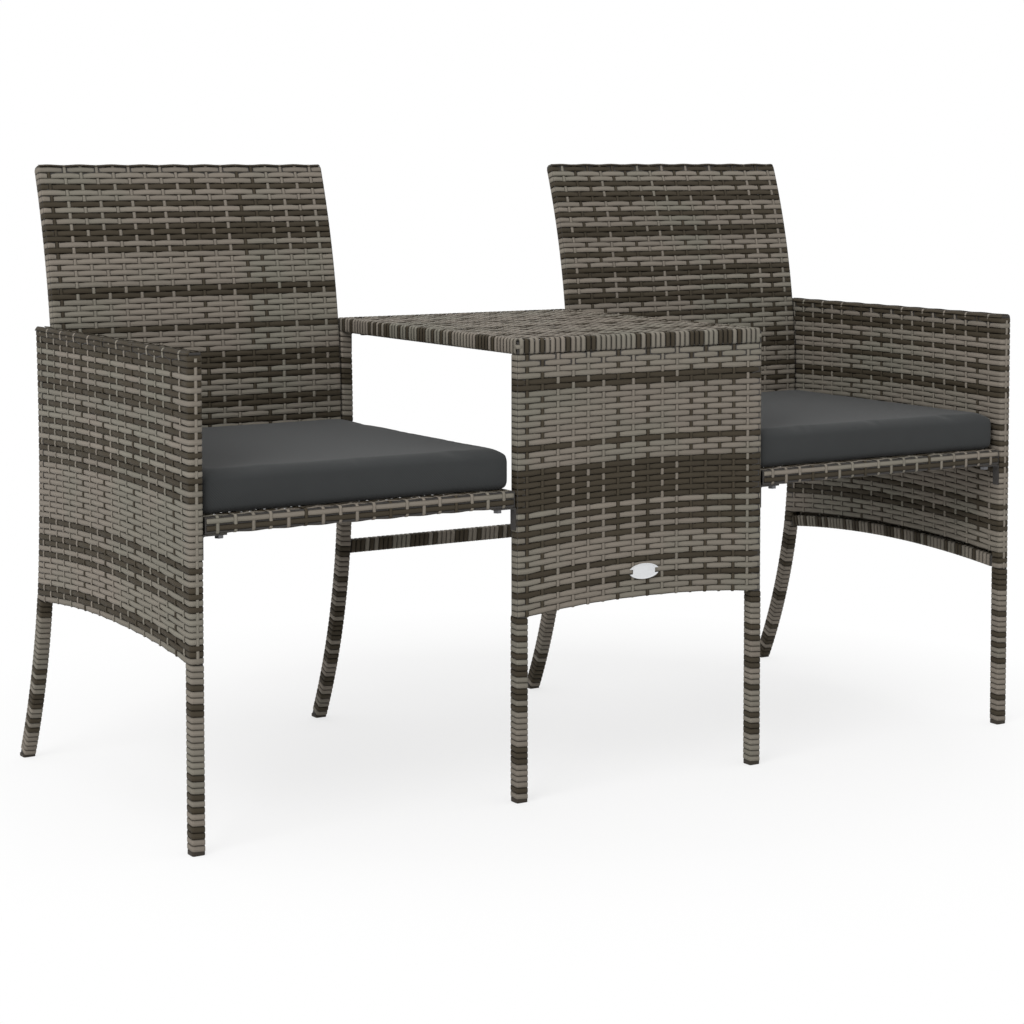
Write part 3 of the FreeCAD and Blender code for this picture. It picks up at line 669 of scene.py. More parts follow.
def arm_belt(z, join):
    """A row's way round both legs at a height, from its join on the inner side and back to it."""
    outer, inner = LEG_TUBE_X
    near, deep = LEG_TUBE_Y[0], leg_y(LEG_SECTION - STRAND, z) + REAR_BULGE
    start = (inner, join)
    corners = [start, (inner, deep), (outer, deep), (outer, near), (inner, near), start]
    return Route(corners, ROUND)


def arm_hook(z):
    """A row's way where the arched rail shows inside, from behind one leg to behind the other."""
    outer, inner = LEG_TUBE_X
    near, far = LEG_TUBE_Y
    front, deep = leg_y(STRAND, z), leg_y(LEG_SECTION - STRAND, z) + REAR_BULGE
    rear_leg = [(outer + HOOK_END, front), (inner, front), (inner, deep), (outer, deep)]
    front_leg = [(outer, near), (inner, near), (inner, far), (outer + HOOK_END, far)]
    return Route(rear_leg + front_leg, ROUND)


def arm_level(spot, share):
    """Height of a row at a spot, from 0 at the arched edge to 1 at the top."""
    low = arch(spot[..., 1], ARM_SPAN, ARM_BOTTOM, ARM_RISE)
    return low + (ARM_ROW_TOP - low) * share


def arm_warp_y(j, z):
    """Where upright j stands at a height."""
    share = (z - ARM_BOTTOM) / (ARM_TOP - ARM_BOTTOM)
    first = ARM_WARP_START + ARM_WARP_LEAN * share
    return first + (ARM_WARP_PITCH - ARM_WARP_CLOSE * share) * j


def add_arm_row(strands, n, count, tone, columns):
    """One row, over and under the uprights outside, and inside where it is above the rail."""
    rise, lift = sizes("row_wave"), STRAND / 2
    share = 1 - (n + 0.5) / count
    middle = float(arm_level(np.array([0.0, ARM_MIDDLE]), share))
    belt = n < count - ARM_OPEN_ROWS
    places = [arm_warp_y(j, middle) for j in range(columns)]
    join = places[ARM_JOIN + n % 2]
    route, first = (arm_belt(middle, join), 0) if belt else (arm_hook(middle), 1)
    flat_end = route.corner(first + 2, False)
    face_run = (route.corner(first + 2) + route.corner(first + 3, False)) / 2
    near = LEG_TUBE_Y[0] + ROUND
    knots = [(route.corner(first), lift), (route.corner(first + 1), lift)]
    ups = waves(rise, n, columns)
    knots += [(flat_end - (y - near), up) for y, up in zip(places, ups)]
    full = lift + SLEEVE_FULL
    face_up = full + (FACE_ROW_RISE if n % 2 else 0.0)
    knots += [(max(flat_end, knots[2][0] + CORNER_RUN), full), (face_run, face_up)]
    knots += [(route.corner(first + 3, False), full)]
    if belt:
        for y, up in zip(places, ups):
            if y >= join:
                knots.append((y - join, -up))
            if y <= join:
                knots.append((route.corner(3) + y - near, -up))
    knots.sort()
    at, ups = zip(*knots)
    runs = stops(at, ROW_PARTS, route.run)
    spot, face = route.at(runs)
    z = arm_level(spot, share) + strands.drift(runs)
    path = np.column_stack([spot + face * eased(runs, at, ups)[:, None], z])
    spread = (ARM_ROW_TOP - ARM_BOTTOM - ARM_RISE / 2) / count
    strands.add(path, level(face), spread * row_share(), tone)


def weave_arm(name, side, rows, warps):
    """One arm: rows that turn round both legs, and uprights over the top rail."""
    strands = Strands(11 if side > 0 else 12, side)
    count = len(rows)
    for n, tone in enumerate(rows):
        add_arm_row(strands, n, count, tone, len(warps))
    for j, tone in enumerate(warps):
        add_arm_upright(strands, j, tone, count)
    add_face_upright(strands, count)
    add_arm_top_rows(strands, rows[0], len(warps))
    strands.settle(name, name.replace("woven", "weave"))


def tucked(path, outward):
    """Turns the end of an upright in behind the edge below it."""
    last, faced = path[-1], outward[-1]
    for inward, up, down in TUCK:
        path.append(last - faced * inward + Z_WAY * up)
        outward.append(faced * TUCK_FACE - Z_WAY * down)


def arm_rail_route():
    """Over the top rail in a section, from its inner face to its outer one."""
    outer, inner = LEG_TUBE_X
    top = limits("left_arm_top_rail", 2)[1]
    low = top - TURN_BACK
    return Route([(inner, low), (inner, top), (outer, top), (outer, low)], ROUND)


def add_arm_upright(strands, j, tone, count):
    """Up the inner side, over the top rail and down the outer side."""
    dip = sizes("warp_wave")
    outer, inner = LEG_TUBE_X
    jitter = strands.draw.uniform(-JITTER, JITTER)

    def side_points(rows, x, way, turn):
        for row in rows:
            share = max(1 - (row + 0.5) / count, 0.0)
            y = arm_warp_y(j, ARM_BOTTOM + (ARM_TOP - ARM_BOTTOM) * share) + jitter
            z = float(arm_level(np.array([x, y]), share))
            swing = turn * math.cos(math.pi * (row + j)) if row <= count - 1 else LAST_SWING
            path.append(np.array([x + way * (dip * swing + WARP_LIFT), y, z]))
            outward.append(np.array([way, 0.0, 0.0]))

    path, outward = [], []
    side_points(np.arange(count - ARM_OPEN_ROWS - 0.5, 0.4, -0.5), inner, 1.0, -1.0)
    over = arm_rail_route()
    spot, face = over.at(over.run)
    y = arm_warp_y(j, ARM_TOP) + jitter
    path += [np.array([s[0], y, s[1]]) for s in spot + face * RAIL_LIFT]
    outward += [np.array([f[0], 0.0, f[1]]) for f in face]
    side_points(np.arange(0.5, count + 0.01, 0.5), outer, -1.0, 1.0)
    tucked(path, outward)
    strands.add(path, outward, sizes("warp_width"), tone)


def add_face_upright(strands, count):
    """The light upright down the middle of the front leg."""
    middle, near = sum(LEG_TUBE_X) / 2, LEG_TUBE_Y[0]
    path, outward = [], []
    for row in np.arange(0.0, count - 0.4, 0.5):
        z = float(arm_level(np.array([middle, near]), 1 - (row + 0.5) / count))
        swing = (1 + math.cos(math.pi * row)) / 2
        path.append((middle, near - SLEEVE_FULL - FACE_LIFT - FACE_WAVE * swing, z))
        outward.append(-Y_WAY)
    strands.add(path, outward, sizes("warp_width") * FACE_WIDTH, 0.0)


def add_arm_top_rows(strands, tone, warp_count):
    """Rows along the top rail: on its two edges and its top."""
    rail = arm_rail_route()
    front, behind = RAIL_ROW_FREE
    rear = leg_y(LEG_SECTION, ARM_TOP) + REAR_BULGE - behind
    knots = [front] + [arm_warp_y(j, ARM_TOP) for j in range(warp_count)] + [rear]
    runs = stops(knots, ROW_PARTS)
    for n, run in enumerate(RAIL_ROWS):
        spot, face = rail.at(run)
        ups = [0.0, *waves(RAIL_ROW_WAVE, n, warp_count), 0.0]
        off = STRAND / 2 + eased(runs, knots, ups)
        path = np.column_stack([spot[0] + face[0] * off, runs, spot[1] + face[1] * off])
        outward = np.tile([face[0], 0.0, face[1]], (len(runs), 1))
        strands.add(path, outward, RAIL_ROW_WIDTH, tone)


# Table front

TABLE_SPAN = (TABLE_X[0] + LEG_SECTION, TABLE_X[1] - LEG_SECTION)
TABLE_ROW_TOP = TABLE_UNDERSIDE - 0.5
TABLE_ROW_END = 5.0
# How far past a corner a row is level
TABLE_ROW_LEVEL = 1.0
TABLE_WARP_START = 15.5
TABLE_WARP_PITCH = 24.1


def table_plan():
    """A row's way round both legs and across the front."""
    outer, inner = TABLE_X[0] + STRAND, TABLE_X[0] + LEG_SECTION - STRAND
    near, far = STRAND, LEG_SECTION - STRAND
    left = [(inner, TABLE_ROW_END), (inner, far), (outer, far), (outer, near)]
    return Route(left + [(-x, y) for x, y in reversed(left)], ROUND)


def table_level(spot, share):
    low = arch(spot[..., 0], TABLE_SPAN, TABLE_BOTTOM, TABLE_RISE)
    return low + (TABLE_ROW_TOP - low) * share


def weave_table_front():
    strands = Strands(21)
    rise, dip, lift = sizes("row_wave"), sizes("warp_wave"), STRAND / 2
    route = table_plan()
    count = len(TABLE_ROWS)
    zero = route.corner(2)
    start = zero + TABLE_X[0] + TABLE_WARP_START - route.at(zero)[0][0]
    crossings = [start + TABLE_WARP_PITCH * j for j in range(len(TABLE_WARPS))]
    knots = [zero - TABLE_ROW_LEVEL, *crossings, route.corner(3, False) + TABLE_ROW_LEVEL]
    runs = stops(knots, ROW_PARTS, route.run)
    spot, face = route.at(runs)
    spread = (TABLE_UNDERSIDE - TABLE_BOTTOM - TABLE_RISE / 2) / count
    for n, tone in enumerate(TABLE_ROWS):
        share = 1 - (n + 0.5) / count
        ups = [lift, *waves(rise, n, len(TABLE_WARPS)), lift]
        z = table_level(spot, share) + strands.drift(runs)
        path = np.column_stack([spot + face * eased(runs, knots, ups)[:, None], z])
        strands.add(path, level(face), spread * row_share(), tone)
    for j, tone in enumerate(TABLE_WARPS):
        spot, face = route.at(crossings[j] + strands.draw.uniform(-JITTER, JITTER))
        path, outward = [], []
        for row in np.arange(-0.5, count + 0.01, 0.5):
            swing = math.cos(math.pi * (row + j)) if 0 <= row <= count - 1 else LAST_SWING
            at = spot + face * (dip * swing + WARP_LIFT)
            share = min(max(1 - (row + 0.5) / count, 0.0), 1.0)
            path.append(np.array([*at, table_level(spot, share)]))
            outward.append(np.array([*face, 0.0]))
        tucked(path, outward)
        strands.add(path, outward, sizes("warp_width"), tone)
    strands.settle("table_front_woven", "table_front_weave")


# Sheets woven over a frame: backs and seats

class Sheet:
    """A woven sheet over a frame, in its own sizes: across it, into it and along it."""

    def __init__(self, base, across, length, deep):
        self.base = base
        self.across = across
        self.length = length
        self.near, self.far = STRAND, deep - STRAND

    def put(self, across, into, along):
        """Places on the bench of places on the sheet."""
        y, z, lean = self.base(along)
        places = across, y + into * np.cos(lean), z - into * np.sin(lean)
        return np.stack(np.broadcast_arrays(*places), -1)

    def turn(self, across, into, along, at):
        """Ways on the bench of ways on the sheet, at places along it."""
        lean = self.base(at)[2]
        cos, sin = np.cos(lean), np.sin(lean)
        ways = across, into * cos + along * sin, along * cos - into * sin
        return np.stack(np.broadcast_arrays(*ways), -1)

    def row_route(self):
        """Across and into the sheet: round one stile, over the front and round the other."""
        low, high = self.across
        near, far, back = self.near, self.far, self.far - TURN_BACK
        corners = [(low + far, back), (low + far, far), (low + near, far), (low + near, near)]
        corners += [(high - near, near), (high - near, far), (high - far, far), (high - far, back)]
        return Route(corners, ROUND)

    def warp_route(self):
        """Into and along the sheet: over one end bar, down the front and under the other."""
        near, far, back = self.near, self.far, self.far - TURN_BACK
        low, high = near, self.length - near
        corners = [(back, high - far), (far, high - far), (far, high), (near, high), (near, low)]
        corners += [(far, low), (far, low + far), (back, low + far)]
        return Route(corners, ROUND)


# How far past a corner a strand is level, and how far an upright stands off an end bar
ROW_LEVEL = 0.5
WARP_LEVEL = 1.0
WARP_STAND = 0.3
# Rows round an end bar: their ends, width, level, and heights under and over an upright
BAR_END = 3.0
BAR_WIDTH = 7.5
BAR_LEVEL = 0.2
BAR_WAVE = (-0.35, 0.75)


def weave_sheet(strands, sheet, alongs, tones, warps, warp_tones, odd):
    """Rows at their places along the sheet and uprights through them, whose way is returned."""
    rise, dip, lift = sizes("row_wave"), sizes("warp_wave"), STRAND / 2
    route = sheet.row_route()
    zero = route.corner(2)
    first = route.at(zero)[0][0]
    crossings = [zero + x - first for x in warps]
    knots = [zero - ROW_LEVEL, *crossings, route.corner(3, False) + ROW_LEVEL]
    widths = np.abs(np.gradient(np.array(alongs))) * row_share()
    runs = stops(knots, ROW_PARTS, route.run)
    spot, face = route.at(runs)
    for n, (along, tone, width) in enumerate(zip(alongs, tones, widths)):
        off = eased(runs, knots, [lift, *waves(rise, n + odd, len(warps)), lift])[:, None]
        at = along + strands.drift(runs)
        where = spot + face * off
        path = sheet.put(where[:, 0], where[:, 1], at)
        strands.add(path, sheet.turn(face[:, 0], face[:, 1], 0.0, at), width, tone)
    upright = sheet.warp_route()
    run_zero, run_end = upright.corner(2), upright.corner(3, False)
    top = upright.at(run_zero)[0][1]
    cross = [run_zero + top - along for along in alongs]
    inner = [run for run in cross if run_zero < run < run_end]
    skipped = sum(1 for run in cross if run <= run_zero)
    knots = [run_zero - WARP_LEVEL, *inner, run_end + WARP_LEVEL]
    runs = stops(knots, WARP_PARTS, upright.run)
    spot, face = upright.at(runs)
    end_up = lift + WARP_STAND
    for j, (x, tone) in enumerate(zip(warps, warp_tones)):
        x = x + strands.draw.uniform(-SHEET_JITTER, SHEET_JITTER)
        ups = waves(-dip, skipped + j + odd, len(inner))
        off = eased(runs, knots, [end_up, *ups, end_up])[:, None]
        where = spot + face * off
        facing = sheet.turn(0.0, face[:, 0], face[:, 1], where[:, 1])
        strands.add(sheet.put(x, where[:, 0], where[:, 1]), facing, sizes("warp_width"), tone)
    return upright


def wind_bars(strands, sheet, upright, warps, odd, tones, runs):
    """Rows that lie round an end bar, between the stiles."""
    low, high = sheet.across
    knots = [low + BAR_END, *warps, high - BAR_END]
    along_x = stops(knots, ROW_PARTS)
    for n, run in enumerate(runs):
        spot, face = upright.at(run)
        ups = [BAR_WAVE[(n + j + odd) % 2] for j in range(len(warps))]
        ups = [BAR_LEVEL, *ups, BAR_LEVEL]
        off = eased(along_x, knots, ups)
        into = spot[0] + face[0] * (off + STRAND / 2)
        along = spot[1] + face[1] * (off + STRAND / 2)
        facing = sheet.turn(0.0, face[0], face[1], np.full(len(along_x), spot[1]))
        strands.add(sheet.put(along_x, into, along), facing, BAR_WIDTH, tone_at(tones, n))


def back_base(along):
    """Depth, height and lean of a back's front at a run up it: straight, then an arc."""
    along = np.asarray(along, float)
    bend = BACK_BEND - BACK_Z[0]
    lean = np.maximum(along - bend, 0.0) / BACK_RADIUS
    y = BACK_FRONT + BACK_RADIUS * (1 - np.cos(lean))
    z = np.where(along < bend, BACK_Z[0] + along, BACK_BEND + BACK_RADIUS * np.sin(lean))
    return y, z, lean


def back_along(z):
    """The run up a back's front to a height."""
    if z <= BACK_BEND:
        return z - BACK_Z[0]
    return BACK_BEND - BACK_Z[0] + BACK_RADIUS * math.asin((z - BACK_BEND) / BACK_RADIUS)


BACK_ROW_PITCH = 8.0
BACK_FIRST_ROW = BACK_Z[1] - 7.4
# How far below the sheet the last row's place may end
BACK_ROW_PAST = 2.0
BACK_WARPS = [BACK_X[0] + 15.7 + 23.94 * j for j in range(18)]
# First rows round the top and bottom bars past their corners, and the pitch of each
BACK_TOP_BAR = (1.8, -7.8)
BACK_BOTTOM_BAR = (4.0, 7.6)
BACK_BAR_ROWS = 4


def back_sheet():
    return Sheet(back_base, BACK_X, back_along(BACK_Z[1]), BACK_DEEP)


def weave_back(name, side, rows, warp_tones, odd):
    strands = Strands(31 if side > 0 else 32, side)
    count = int((BACK_FIRST_ROW - BACK_Z[0] + BACK_ROW_PAST) / BACK_ROW_PITCH)
    alongs = [back_along(BACK_FIRST_ROW - BACK_ROW_PITCH * n) for n in range(count)]
    tones = [tone_at(rows, n) for n in range(count)]
    weave_sheet(strands, back_sheet(), alongs, tones, BACK_WARPS, warp_tones, odd)
    strands.settle(name, name.replace("woven", "weave"))


def wind_back_bars():
    """The strands round the top and bottom bars of both backs."""
    strands = Strands(33)
    sheet = back_sheet()
    upright = sheet.warp_route()
    bars = (
        (upright.corner(2, False), BACK_TOP_BAR, yarn("D 2L D")),
        (upright.corner(3), BACK_BOTTOM_BAR, yarn("L D 2L")),
    )
    for side, odd in ((1.0, 1), (-1.0, 0)):
        strands.flip[0] = side
        for edge, (first, pitch), tones in bars:
            rows = [edge + first + pitch * n for n in range(BACK_BAR_ROWS)]
            wind_bars(strands, sheet, upright, BACK_WARPS, odd, tones, rows)
    strands.settle("back_frame_windings", "back_frame_bindings")


def seat_base(along):
    """Depth, height and lean of a seat's top at a run back from its front: level."""
    along = np.asarray(along, float)
    return SEAT_Y[0] + along, np.full_like(along, SEAT_Z[1]), np.full_like(along, math.pi / 2)


SEAT_WARP_PLACES = [SEAT_X[0] + 17.5 + 24.0 * j for j in range(18)]
SEAT_ROW_PITCH = 8.0
SEAT_FIRST_ROW = 6.0
# Rows round the rear and front rails, past their corners
SEAT_REAR_BAR = (-4.0, -12.0, -20.0, -28.0)
SEAT_FRONT_BAR = (2.4, 11.2, 20.5, 28.5)


def weave_seat(name, side):
    strands = Strands(41 if side > 0 else 42, side)
    length = SEAT_Y[1] - SEAT_Y[0]
    sheet = Sheet(seat_base, SEAT_X, length, SEAT_DEEP)
    first = length - SEAT_FIRST_ROW
    count = int(first / SEAT_ROW_PITCH)
    alongs = [first - SEAT_ROW_PITCH * n for n in range(count)]
    tones = [tone_at(SEAT_ROWS, n) for n in range(count)]
    warp_tones = [tone_at(SEAT_WARPS, j) for j in range(len(SEAT_WARP_PLACES))]
    upright = weave_sheet(strands, sheet, alongs, tones, SEAT_WARP_PLACES, warp_tones, 0)
    bars = (
        (upright.corner(2, False), SEAT_REAR_BAR, yarn("L D L D")),
        (upright.corner(3), SEAT_FRONT_BAR, yarn("L D 2L")),
    )
    for odd, (edge, places, tones) in enumerate(bars):
        rows = [edge + place for place in places]
        wind_bars(strands, sheet, upright, SEAT_WARP_PLACES, odd, tones, rows)
    strands.settle(name, name.replace("woven", "weave"))


# Table top

# Rows of the top: their pitch, the first one's place and what stays free of them
TOP_ROW_PITCH = 8.0
TOP_FIRST_ROW = 7.0
TOP_ROW_FREE = 6.0
# The sheet's margin at its sides, and how far its middle lies below the top
TOP_MARGIN = 2.0
TOP_DEPTH = 1.1
TOP_WARP_PLACES = [TABLE_X[0] + TOP_MARGIN + 18.0 + 24.05 * j for j in range(16)]


def weave_table_top():
    strands = Strands(51)
    rise, dip = sizes("row_wave"), sizes("warp_wave")
    plane = TABLE_TOP - TOP_DEPTH
    knots = [TABLE_X[0] + TOP_MARGIN, *TOP_WARP_PLACES, TABLE_X[1] - TOP_MARGIN]
    runs = stops(knots, ROW_PARTS)
    count = int((TABLE_Y[1] - TABLE_Y[0] - TOP_ROW_FREE) / TOP_ROW_PITCH)
    front = TABLE_Y[0] + TOP_FIRST_ROW
    for n in range(count):
        z = plane + eased(runs, knots, [0.0, *waves(rise, n, len(TOP_WARP_PLACES)), 0.0])
        path = np.column_stack([runs, front + TOP_ROW_PITCH * n + strands.drift(runs), z])
        outward = np.tile(Z_WAY, (len(runs), 1))
        strands.add(path, outward, TOP_ROW_PITCH * row_share(), tone_at(TOP_ROWS, n))
    rows = np.arange(-0.5, count - 0.4, 0.5)
    for j, x in enumerate(TOP_WARP_PLACES):
        z = plane + dip * np.cos(math.pi * (rows + j)) + WARP_LIFT
        path = np.column_stack([np.full(len(rows), x), front + TOP_ROW_PITCH * rows, z])
        outward = np.tile(Z_WAY, (len(rows), 1))
        strands.add(path, outward, sizes("warp_width"), tone_at(TOP_WARPS, j))
    strands.settle("table_top_woven", "table_top_weave")


# Loops round the edge: the first one's place, how far they reach under and over, and their cover
EDGE_START = 7.0
EDGE_UNDER = 13.0
EDGE_OVER = 9.0
EDGE_SKIN = 0.3
EDGE_LIFT = 0.25
EDGE_ROUND = 3.2
EDGE_COVER = 0.94
# Near a corner they stop short of the loops of the next side
EDGE_TRIM = 0.5
EDGE_LEAST = 1.2
# The loops of the next side start this far on in their colour order
EDGE_SHIFT = 17
# The strand round each corner: how deep it lies, its reach, its round and its width
CORNER_DEPTH = 0.2
CORNER_REACH = 8.0
CORNER_ROUND = 3.0
CORNER_WIDTH = 7.0


def bind_table_edge():
    """Loops of strand round the rails of the table top, side by side."""
    strands = Strands(52)
    bottom = limits("table_edge_binding", 2)[0]
    base, top = bottom + EDGE_SKIN, TABLE_TOP + EDGE_LIFT
    corners = [(EDGE_UNDER, base), (EDGE_SKIN, base), (EDGE_SKIN, top), (EDGE_OVER, top)]
    section = Route(corners, EDGE_ROUND)
    spot, face = section.at(stops(section.run, 1))
    pitch = sizes("loop_pitch")
    x_low, x_high = TABLE_X
    y_low, y_high = TABLE_Y
    sides = [
        ((x_low, y_low), (1.0, 0.0), (0.0, 1.0), x_high - x_low),
        ((x_high, y_low), (0.0, 1.0), (-1.0, 0.0), y_high - y_low),
        ((x_high, y_high), (-1.0, 0.0), (0.0, -1.0), x_high - x_low),
        ((x_low, y_high), (0.0, -1.0), (1.0, 0.0), y_high - y_low),
    ]
    for n, (corner, way, inward, length) in enumerate(sides):
        corner, way, inward = np.array(corner), np.array(way), np.array(inward)
        count = round((length - 2 * EDGE_START) / pitch)
        step = (length - 2 * EDGE_START) / count
        tones = EDGE_LOOPS[EDGE_SHIFT * n % len(EDGE_LOOPS):] + EDGE_LOOPS
        if n == 3:
            tones = LEFT_EDGE_LOOPS
        for k in range(count + 1):
            run = EDGE_START + step * k
            trim = min(run, length - run)
            path, outward = [], []
            for s, f in zip(spot, face):
                reach = min(s[0], max(trim - EDGE_TRIM, EDGE_LEAST))
                path.append((*(corner + way * run + inward * reach), s[1]))
                outward.append((*(-inward * f[0]), -f[1]))
            strands.add(path, outward, step * EDGE_COVER, tone_at(tones, k))
        ends = [corner + inward * CORNER_REACH, corner + way * CORNER_REACH]
        turn = Route([ends[0], corner, ends[1]], CORNER_ROUND)
        spots, faces = turn.at(turn.run)
        middle = np.full(len(spots), (bottom + top) / 2)
        path = np.column_stack([spots - faces * CORNER_DEPTH, middle])
        strands.add(path, level(faces), CORNER_WIDTH, 0.0)
    strands.settle("table_edge_loops", "table_edge_binding")


# Strand wound round the tubes

WINDING_ROUND = 2.4
# A turn's climb by its run: slow over the three sides that show, and quick on the far one
CLIMB = ((0.0, 0.125, 0.875, 1.0), (0.0, 0.25, 0.75, 1.0))
# Width of a strand in turns, how far the legs' windings stand out, and where they start and end
TURN_COVER = 1.06
LEG_FULL = 0.6
LEG_TUCK = -1.5
FRONT_LEG_START = 0.6
REAR_LEG_START = 3.0
REAR_LEG_TOP = 620.0
# Where a rail's winding starts, in turns, and what is left free at its ends
RAIL_TURN_START = 0.3
RAIL_START = 1.0
ARM_RAIL_END = 4.0
TABLE_RAIL_END = 2.0
# How far ahead a rail and a leg look for their way, and how finely a leg is measured for its
# turns and for its length
RAIL_AHEAD = 3.0
LEG_AHEAD = 4.0
TURN_SAMPLES = 300
LENGTH_SAMPLES = 100


def add_winding(strands, axis, half, turns, tones, width):
    """One strand wound along an axis, which gives the middle and the two sides of the section.

    A new colour starts on the far side, where the climb to the next turn is steepest.
    """
    wide, deep = half
    start = (0.0, deep)
    corners = [start, (-wide, deep), (-wide, -deep), (wide, -deep), (wide, deep), start]
    ring = Route(corners, WINDING_ROUND)
    spots, faces = ring.spots[:0:-1], ring.faces[:0:-1]
    climb = np.interp(1 - ring.run[:0:-1] / ring.run[-1], *CLIMB)
    path, outward, tone, shade = [], [], [], []
    for n in range(turns):
        value = strands.draw.random()
        for s, f, t in zip(spots, faces, climb):
            middle, first, second = axis(n + t)
            path.append(middle + first * s[0] + second * s[1])
            outward.append(first * f[0] + second * f[1])
            tone.append(tone_at(tones, n))
            shade.append(value)
    strands.add(path, outward, width, tone[:-1], shade[:-1])


def turns_in(length):
    """How many whole turns cover a length, and their pitch."""
    turns = round(length / sizes("turn_pitch"))
    return turns, length / turns


def stretched(tones, turns):
    """A colour order drawn out or closed up to a number of turns."""
    return [tones[int((n + 0.5) * len(tones) / turns)] for n in range(turns)]


def front_leg_axis(x, low, pitch):
    def axis(turn):
        return np.array([x, LEG_SECTION / 2, low + pitch * turn]), X_WAY, Y_WAY
    return axis


def rear_leg_run(low, high, count):
    """Heights up a rear leg, the depth of its middle at each, and the run to each."""
    heights = np.linspace(low, high, count)
    places = np.array([leg_y(LEG_SECTION / 2, z) for z in heights])
    gaps = np.hypot(np.diff(heights), np.diff(places))
    return heights, places, np.concatenate([[0.0], np.cumsum(gaps)])


def rear_leg_axis(x, low, pitch):
    heights, places, run = rear_leg_run(low, REAR_LEG_TOP, TURN_SAMPLES)

    def axis(turn):
        at = pitch * turn
        z, ahead = np.interp([at, at + LEG_AHEAD], run, heights)
        y, y_ahead = np.interp([at, at + LEG_AHEAD], run, places)
        way = np.array([0.0, y_ahead - y, ahead - z])
        way /= np.linalg.norm(way)
        return np.array([x, y, z]), X_WAY, np.cross(way, X_WAY)
    return axis


def wind_leg_set(kind, seed, low, table_end, length, axis, orders):
    """Winds the four front or rear legs, from a height up to the arms and the table."""
    strands = Strands(seed)
    half = (LEG_SECTION / 2 - STRAND / 2 + LEG_FULL,) * 2
    ends = (ARM_BOTTOM, table_end, table_end, ARM_BOTTOM)
    for x, end, order in zip(LEG_PLACES, ends, orders):
        turns, pitch = turns_in(length(low, end))
        tones = stretched(order, turns)
        add_winding(strands, axis(x, low, pitch), half, turns, tones, pitch * TURN_COVER)
    strands.settle(kind + "_leg_windings", kind + "_leg_bindings")


def wind_legs():
    def front_length(low, end):
        return end + LEG_TUCK - low

    def rear_length(low, end):
        return float(rear_leg_run(low, end, LENGTH_SAMPLES)[2][-1])

    wind_leg_set("front", 61, CAP_BASE + FRONT_LEG_START, TABLE_BOTTOM,
                 front_length, front_leg_axis, FRONT_LEG_TURNS)
    wind_leg_set("rear", 62, CAP_BASE + REAR_LEG_START, TABLE_UNDERSIDE,
                 rear_length, rear_leg_axis, REAR_LEG_TURNS)


def arch_axis(along, side, beside, start, pitch, curve):
    """The middle of an arched rail and its section's two sides, at a turn."""
    def axis(turn):
        run = start + pitch * (turn + RAIL_TURN_START)
        z, ahead = arch([run, run + RAIL_AHEAD], *curve) + ARCH_TALL / 2
        way = along * RAIL_AHEAD + Z_WAY * (ahead - z)
        way /= np.linalg.norm(way)
        return beside + along * run + Z_WAY * z, side, np.cross(way, side)
    return axis


def wind_rails():
    """Strand round the arched rails and the rear stretcher."""
    strands = Strands(63)
    pitch = sizes("turn_pitch")
    width = pitch * TURN_COVER
    half = (ARCH_DEEP / 2 - STRAND / 2, ARCH_TALL / 2 - STRAND / 2)
    beside = X_WAY * (ARM_OUTER + WEAVE + ARCH_DEEP / 2)
    start = ARM_SPAN[0] + RAIL_START
    turns = int((ARM_SPAN[1] - start - ARM_RAIL_END) / pitch)
    axis = arch_axis(Y_WAY, -X_WAY, beside, start, pitch, (ARM_SPAN, ARM_BOTTOM, ARM_RISE))
    for side in (1.0, -1.0):
        strands.flip[0] = side
        add_winding(strands, axis, half, turns, RAIL_TURNS, width)
    strands.flip[0] = 1.0
    beside = Y_WAY * (WEAVE + ARCH_DEEP / 2)
    start = TABLE_SPAN[0] + RAIL_START
    turns = int((TABLE_SPAN[1] - start - TABLE_RAIL_END) / pitch)
    axis = arch_axis(X_WAY, Y_WAY, beside, start, pitch, (TABLE_SPAN, TABLE_BOTTOM, TABLE_RISE))
    add_winding(strands, axis, half, turns, RAIL_TURNS, width)
    middle_y, middle_z = sum(STRETCHER_Y) / 2, sum(STRETCHER_Z) / 2
    half = tuple((high - low) / 2 + STRAND / 2 for low, high in (STRETCHER_Y, STRETCHER_Z))

    def stretcher_axis(turn):
        x = start + pitch * (turn + RAIL_TURN_START)
        return np.array([x, middle_y, middle_z]), -Y_WAY, -Z_WAY
    add_winding(strands, stretcher_axis, half, turns, STRETCHER_TURNS, width)
    strands.settle("rail_windings", "rail_bindings")


# Cushions

# In metres: room left for the stuffing, the ends past the solid, the rounds of the block with
# the steps of each, the rise of the top, the pull of the sides, and the remesh and reach of
# the simulation, which runs for so many frames
CUSHION_INSET = 0.0005
CUSHION_SPREAD = 0.003
CUSHION_CORNER = (0.0045, 6)
CUSHION_EDGE = (0.007, 4)
CUSHION_CROWN = 0.005
CUSHION_PULL = 0.0025
CUSHION_VOXEL = 0.005
CUSHION_FRAMES = 20
CUSHION_REACH = 0.005
# Edges whose ends differ by less than this in height are level
LEVEL = 1e-6


def select_edges(piece, test):
    """In edit mode, selects the edges that pass a test on their two ends."""
    bpy.ops.mesh.select_all(action="DESELECT")
    bpy.ops.object.mode_set(mode="OBJECT")
    points = piece.data.vertices
    for edge in piece.data.edges:
        edge.select = test(*(points[n].co for n in edge.vertices))
    bpy.ops.object.mode_set(mode="EDIT")


